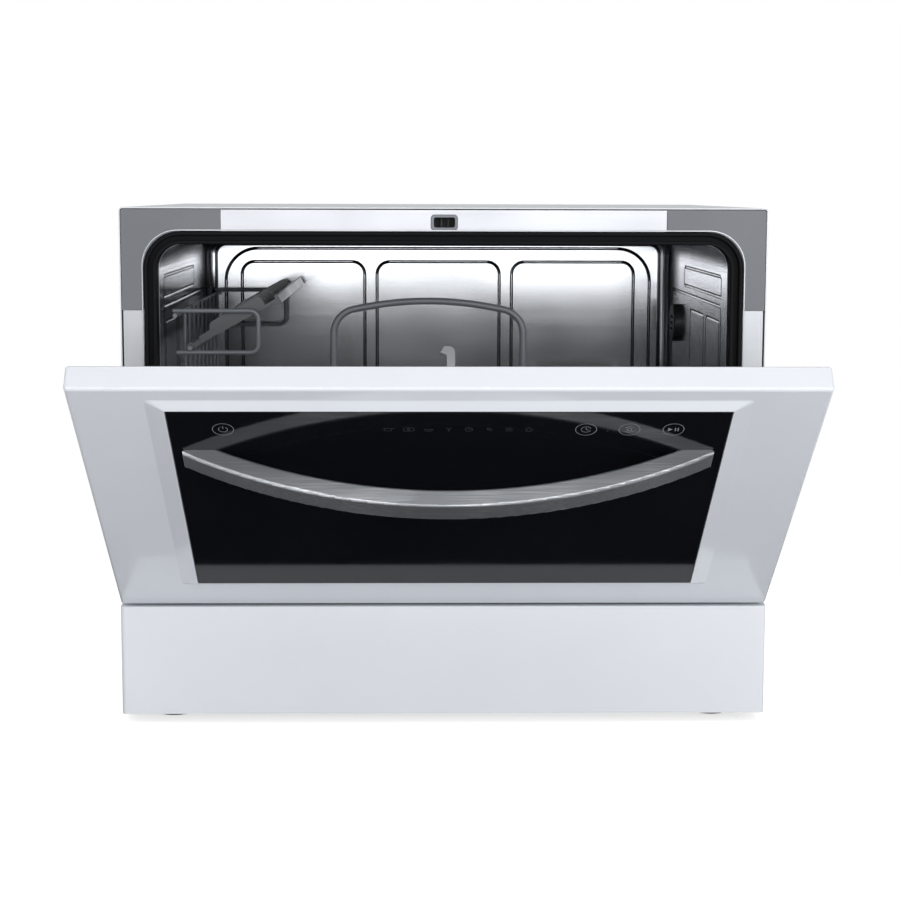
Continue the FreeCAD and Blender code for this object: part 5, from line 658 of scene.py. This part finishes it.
@dataclass
class Door:
    """White door with its glass, handle, liner and dispenser."""

    def dress(self) -> None:
        """Give the door its finishes and its printed marks."""
        dress(Finishes.DOOR, ("door_outer_panel",))
        dress(Finishes.GLASS, ("door_glass",))
        dress(Finishes.BRUSHED, ("door_handle",))
        dress(Finishes.TUB, ("door_liner",))
        dress(Finishes.NICKEL, ("latch_hook",))
        dress(Finishes.GREY, ("dispenser_housing", "detergent_lid"))
        dress(Finishes.BLACK, ("rinse_aid_cap",))
        dress(Finishes.BOARD, ("control_board",))
        dress(Finishes.ZINC, ("liner_screws", "door_springs", "left_hinge_arm", "right_hinge_arm"))
        TouchMarks().build()


@dataclass
class Basket:
    """Wire basket with its arch, cup shelf, wheels and cutlery holder."""

    wires: tuple[str, ...] = ("basket_rim", "basket_wires", "basket_handle", "cup_shelf_frame")
    wheels: tuple[str, ...] = ("front_left_wheel", "front_right_wheel", "rear_left_wheel", "rear_right_wheel")

    def dress(self) -> None:
        """Give the basket its finishes."""
        dress(Finishes.WIRE, self.wires)
        dress(Finishes.COMB, ("comb_flap",))
        dress(Finishes.GREY, ("cutlery_basket",))
        dress(Finishes.ACETAL, self.wheels)


@dataclass
class WaterParts:
    """Spray arm, filters, sump, pumps and softener."""

    def dress(self) -> None:
        """Give the water parts their finishes."""
        dress(Finishes.GREY, ("spray_arm", "filter_cup"))
        dress(Finishes.BLACK, ("sump", "wash_pump", "drain_pump"))
        dress(Finishes.ACETAL, ("water_softener", "air_break", "salt_cap"))
        dress(Finishes.ZINC, ("flow_heater",))


@dataclass(frozen=True)
class SoftBox:
    """A soft box that hangs at a place and faces an aim, with its size in metres and its power in watts."""

    name: str
    place: tuple[float, float, float]
    aim: tuple[float, float, float]
    size: Point
    power: float

    def hang(self) -> None:
        """Put the lamp into the scene."""
        data = bpy.data.lights.new(self.name, "AREA")
        data.shape = "RECTANGLE"
        data.size, data.size_y = self.size
        data.energy = self.power
        item = bpy.data.objects.new(self.name, data)
        way = Vector(self.aim) - Vector(self.place)
        turn = way.to_track_quat("-Z", "Y").to_matrix().to_4x4()
        item.matrix_world = Matrix.Translation(Vector(self.place)) @ turn
        bpy.context.scene.collection.objects.link(item)


@dataclass
class Studio:
    """Pale floor, soft lamps and the camera at the photograph's place.

    Lengths are in metres, the camera's turns in radians and its focal length in millimetres. Mirrors see a
    ceiling that darkens from ceiling_start to ceiling_end, as shares of the way up, and a painted shadow on
    the floor near the machine, which turns white from floor_near to floor_far.
    """

    eye: tuple[float, float, float] = (-0.026374, -1.766310, 0.451674)
    yaw: float = -0.0189295
    pitch: float = -0.1311502
    roll: float = -0.0024835
    focal: float = 78.4187
    sensor: float = 36.0
    far_clip: float = 50.0
    floor_half: float = 14.0
    floor_grain_mm: float = 10 / 3
    floor_shown: str = "#F4F4F5"
    floor_grain: str = "#F8F8F9"
    floor_paint: str = "#DCDCDE"
    # Painted shadow: the colour that mirrors see on the floor near the machine.
    floor_mirror_shadow: str = "#26262A"
    floor_lift: float = 0.68
    room_light: float = 0.52
    ceiling_light: float = 0.14
    ceiling_start: float = 0.15
    ceiling_end: float = 0.6
    floor_near: float = 0.4
    floor_far: float = 0.85
    lamps: tuple[SoftBox, ...] = (
        SoftBox("top_box", (0.0, -1.3, 2.2), (0.0, -0.2, 0.2), (2.2, 0.8), 7.0),
        SoftBox("front_box", (1.0, -3.0, 0.8), (0.0, 0.0, 0.2), (4.2, 1.3), 66.0),
    )

    def camera(self) -> None:
        """Set the camera where the photograph was taken from."""
        data = bpy.data.cameras.new("camera")
        data.lens = self.focal
        data.sensor_width = self.sensor
        data.clip_end = self.far_clip
        turn = Matrix.Rotation(self.yaw, 4, "Z") @ Matrix.Rotation(self.pitch, 4, "X")
        turn = turn @ Matrix.Rotation(self.roll, 4, "Y") @ Matrix.Rotation(math.radians(90), 4, "X")
        item = bpy.data.objects.new("camera", data)
        item.matrix_world = Matrix.Translation(Vector(self.eye)) @ turn
        bpy.context.scene.collection.objects.link(item)
        bpy.context.scene.camera = item

    def seen(self, tree: bpy.types.NodeTree, path: bpy.types.Node) -> bpy.types.NodeSocket:
        """Tell rays that show the background from those that only light the object.

        Args:
            tree: Node tree of the floor or the world.
            path: Its light path node.

        Returns:
            A value of 1 for camera, glossy and transmission rays.
        """
        first = add_node(
            tree, "ShaderNodeMath", {"operation": "MAXIMUM"},
            {0: path.outputs["Is Camera Ray"], 1: path.outputs["Is Transmission Ray"]},
        )
        both = add_node(
            tree, "ShaderNodeMath", {"operation": "MAXIMUM"},
            {0: first.outputs[0], 1: path.outputs["Is Glossy Ray"]},
        )
        return both.outputs[0]

    def world(self) -> None:
        """Light the room evenly; the camera sees white, and metal a white room with a darker ceiling."""
        world = bpy.data.worlds.new("studio")
        bpy.context.scene.world = world
        world.use_nodes = True
        tree = world.node_tree
        tree.nodes.clear()
        path = add_node(tree, "ShaderNodeLightPath")
        way = add_node(tree, "ShaderNodeTexCoord")
        height = add_node(tree, "ShaderNodeSeparateXYZ", inputs={0: way.outputs["Generated"]})
        ceiling = add_node(
            tree, "ShaderNodeMapRange",
            inputs={
                "Value": height.outputs["Z"], "From Min": self.ceiling_start, "From Max": self.ceiling_end,
                "To Min": 1.0, "To Max": self.ceiling_light,
            },
        )
        mirrored = add_node(
            tree, "ShaderNodeMix", {"data_type": "FLOAT"},
            {0: path.outputs["Is Glossy Ray"], 2: 1.0, 3: ceiling.outputs["Result"]},
        )
        power = add_node(
            tree, "ShaderNodeMix", {"data_type": "FLOAT"},
            {0: self.seen(tree, path), 2: self.room_light, 3: mirrored.outputs[0]},
        )
        sky = add_node(
            tree, "ShaderNodeBackground",
            inputs={"Color": (1.0, 1.0, 1.0, 1.0), "Strength": power.outputs[0]},
        )
        add_node(tree, "ShaderNodeOutputWorld", inputs={"Surface": sky.outputs["Background"]})

    def floor_finish(self) -> bpy.types.Material:
        """Make the floor's paint.

        Returns:
            A matt material that keeps the shadow, is white to the camera and to mirrors away from it, and
            shows mirrors a painted shadow near the machine.
        """
        material = bpy.data.materials.new("pale_painted_floor")
        material.use_nodes = True
        tree = material.node_tree
        tree.nodes.clear()
        path = add_node(tree, "ShaderNodeLightPath")
        place = add_node(tree, "ShaderNodeTexCoord")
        speck = add_node(
            tree, "ShaderNodeTexNoise",
            inputs={
                "Vector": place.outputs["Object"], "Scale": 1 / (self.floor_grain_mm * MM), "Detail": 2.0,
            },
        )
        pale = add_node(
            tree, "ShaderNodeMix", {"data_type": "RGBA"},
            {0: speck.outputs["Fac"], 6: linear(self.floor_shown), 7: linear(self.floor_grain)},
        )
        # Painted shadow: mirrors see the floor near the machine in a dark colour that stands for the
        # machine's shadow on it.
        paint_or_mirror_shadow = add_node(
            tree, "ShaderNodeMix", {"data_type": "RGBA"},
            {0: path.outputs["Is Glossy Ray"], 6: linear(self.floor_paint), 7: linear(self.floor_mirror_shadow)},
        )
        paint = add_node(
            tree, "ShaderNodeMix", {"data_type": "RGBA"},
            {0: path.outputs["Is Camera Ray"], 6: paint_or_mirror_shadow.outputs[2], 7: pale.outputs[2]},
        )
        matt = add_node(tree, "ShaderNodeBsdfDiffuse", inputs={"Color": paint.outputs[2]})
        lift = add_node(
            tree, "ShaderNodeMath", {"operation": "MULTIPLY"},
            {0: path.outputs["Is Camera Ray"], 1: self.floor_lift},
        )
        glow = add_node(tree, "ShaderNodeEmission", inputs={"Strength": lift.outputs[0]})
        near = add_node(tree, "ShaderNodeAddShader", inputs={0: matt.outputs[0], 1: glow.outputs[0]})
        reach = add_node(tree, "ShaderNodeVectorMath", {"operation": "LENGTH"}, {0: place.outputs["Object"]})
        distance = add_node(
            tree, "ShaderNodeMapRange", {"interpolation_type": "SMOOTHSTEP"},
            {"Value": reach.outputs["Value"], "From Min": self.floor_near, "From Max": self.floor_far},
        )
        away = add_node(
            tree, "ShaderNodeMath", {"operation": "MULTIPLY"},
            {0: distance.outputs["Result"], 1: self.seen(tree, path)},
        )
        white = add_node(tree, "ShaderNodeEmission", inputs={"Strength": 1.0})
        shown = add_node(
            tree, "ShaderNodeMixShader", inputs={0: away.outputs[0], 1: near.outputs[0], 2: white.outputs[0]},
        )
        add_node(tree, "ShaderNodeOutputMaterial", inputs={"Surface": shown.outputs[0]})
        return material

    def floor(self) -> None:
        """Lay the wide floor."""
        mesh = bmesh.new()
        bmesh.ops.create_grid(mesh, x_segments=1, y_segments=1, size=self.floor_half)
        data = bpy.data.meshes.new("floor")
        mesh.to_mesh(data)
        mesh.free()
        item = bpy.data.objects.new("floor", data)
        bpy.context.scene.collection.objects.link(item)
        data.materials.append(self.floor_finish())

    def build(self) -> None:
        """Set up the whole studio."""
        bpy.context.scene.view_settings.view_transform = "Standard"
        self.camera()
        self.world()
        self.floor()
        for lamp in self.lamps:
            lamp.hang()


def main() -> None:
    """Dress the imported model, print its marks and set the studio."""
    logging.basicConfig(level=logging.INFO, format="%(name)s: %(message)s")
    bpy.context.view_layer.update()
    for assembly in (Cabinet(), Tub(), Door(), Basket(), WaterParts()):
        assembly.dress()
    Studio().build()


if __name__ == "__main__":
    main()
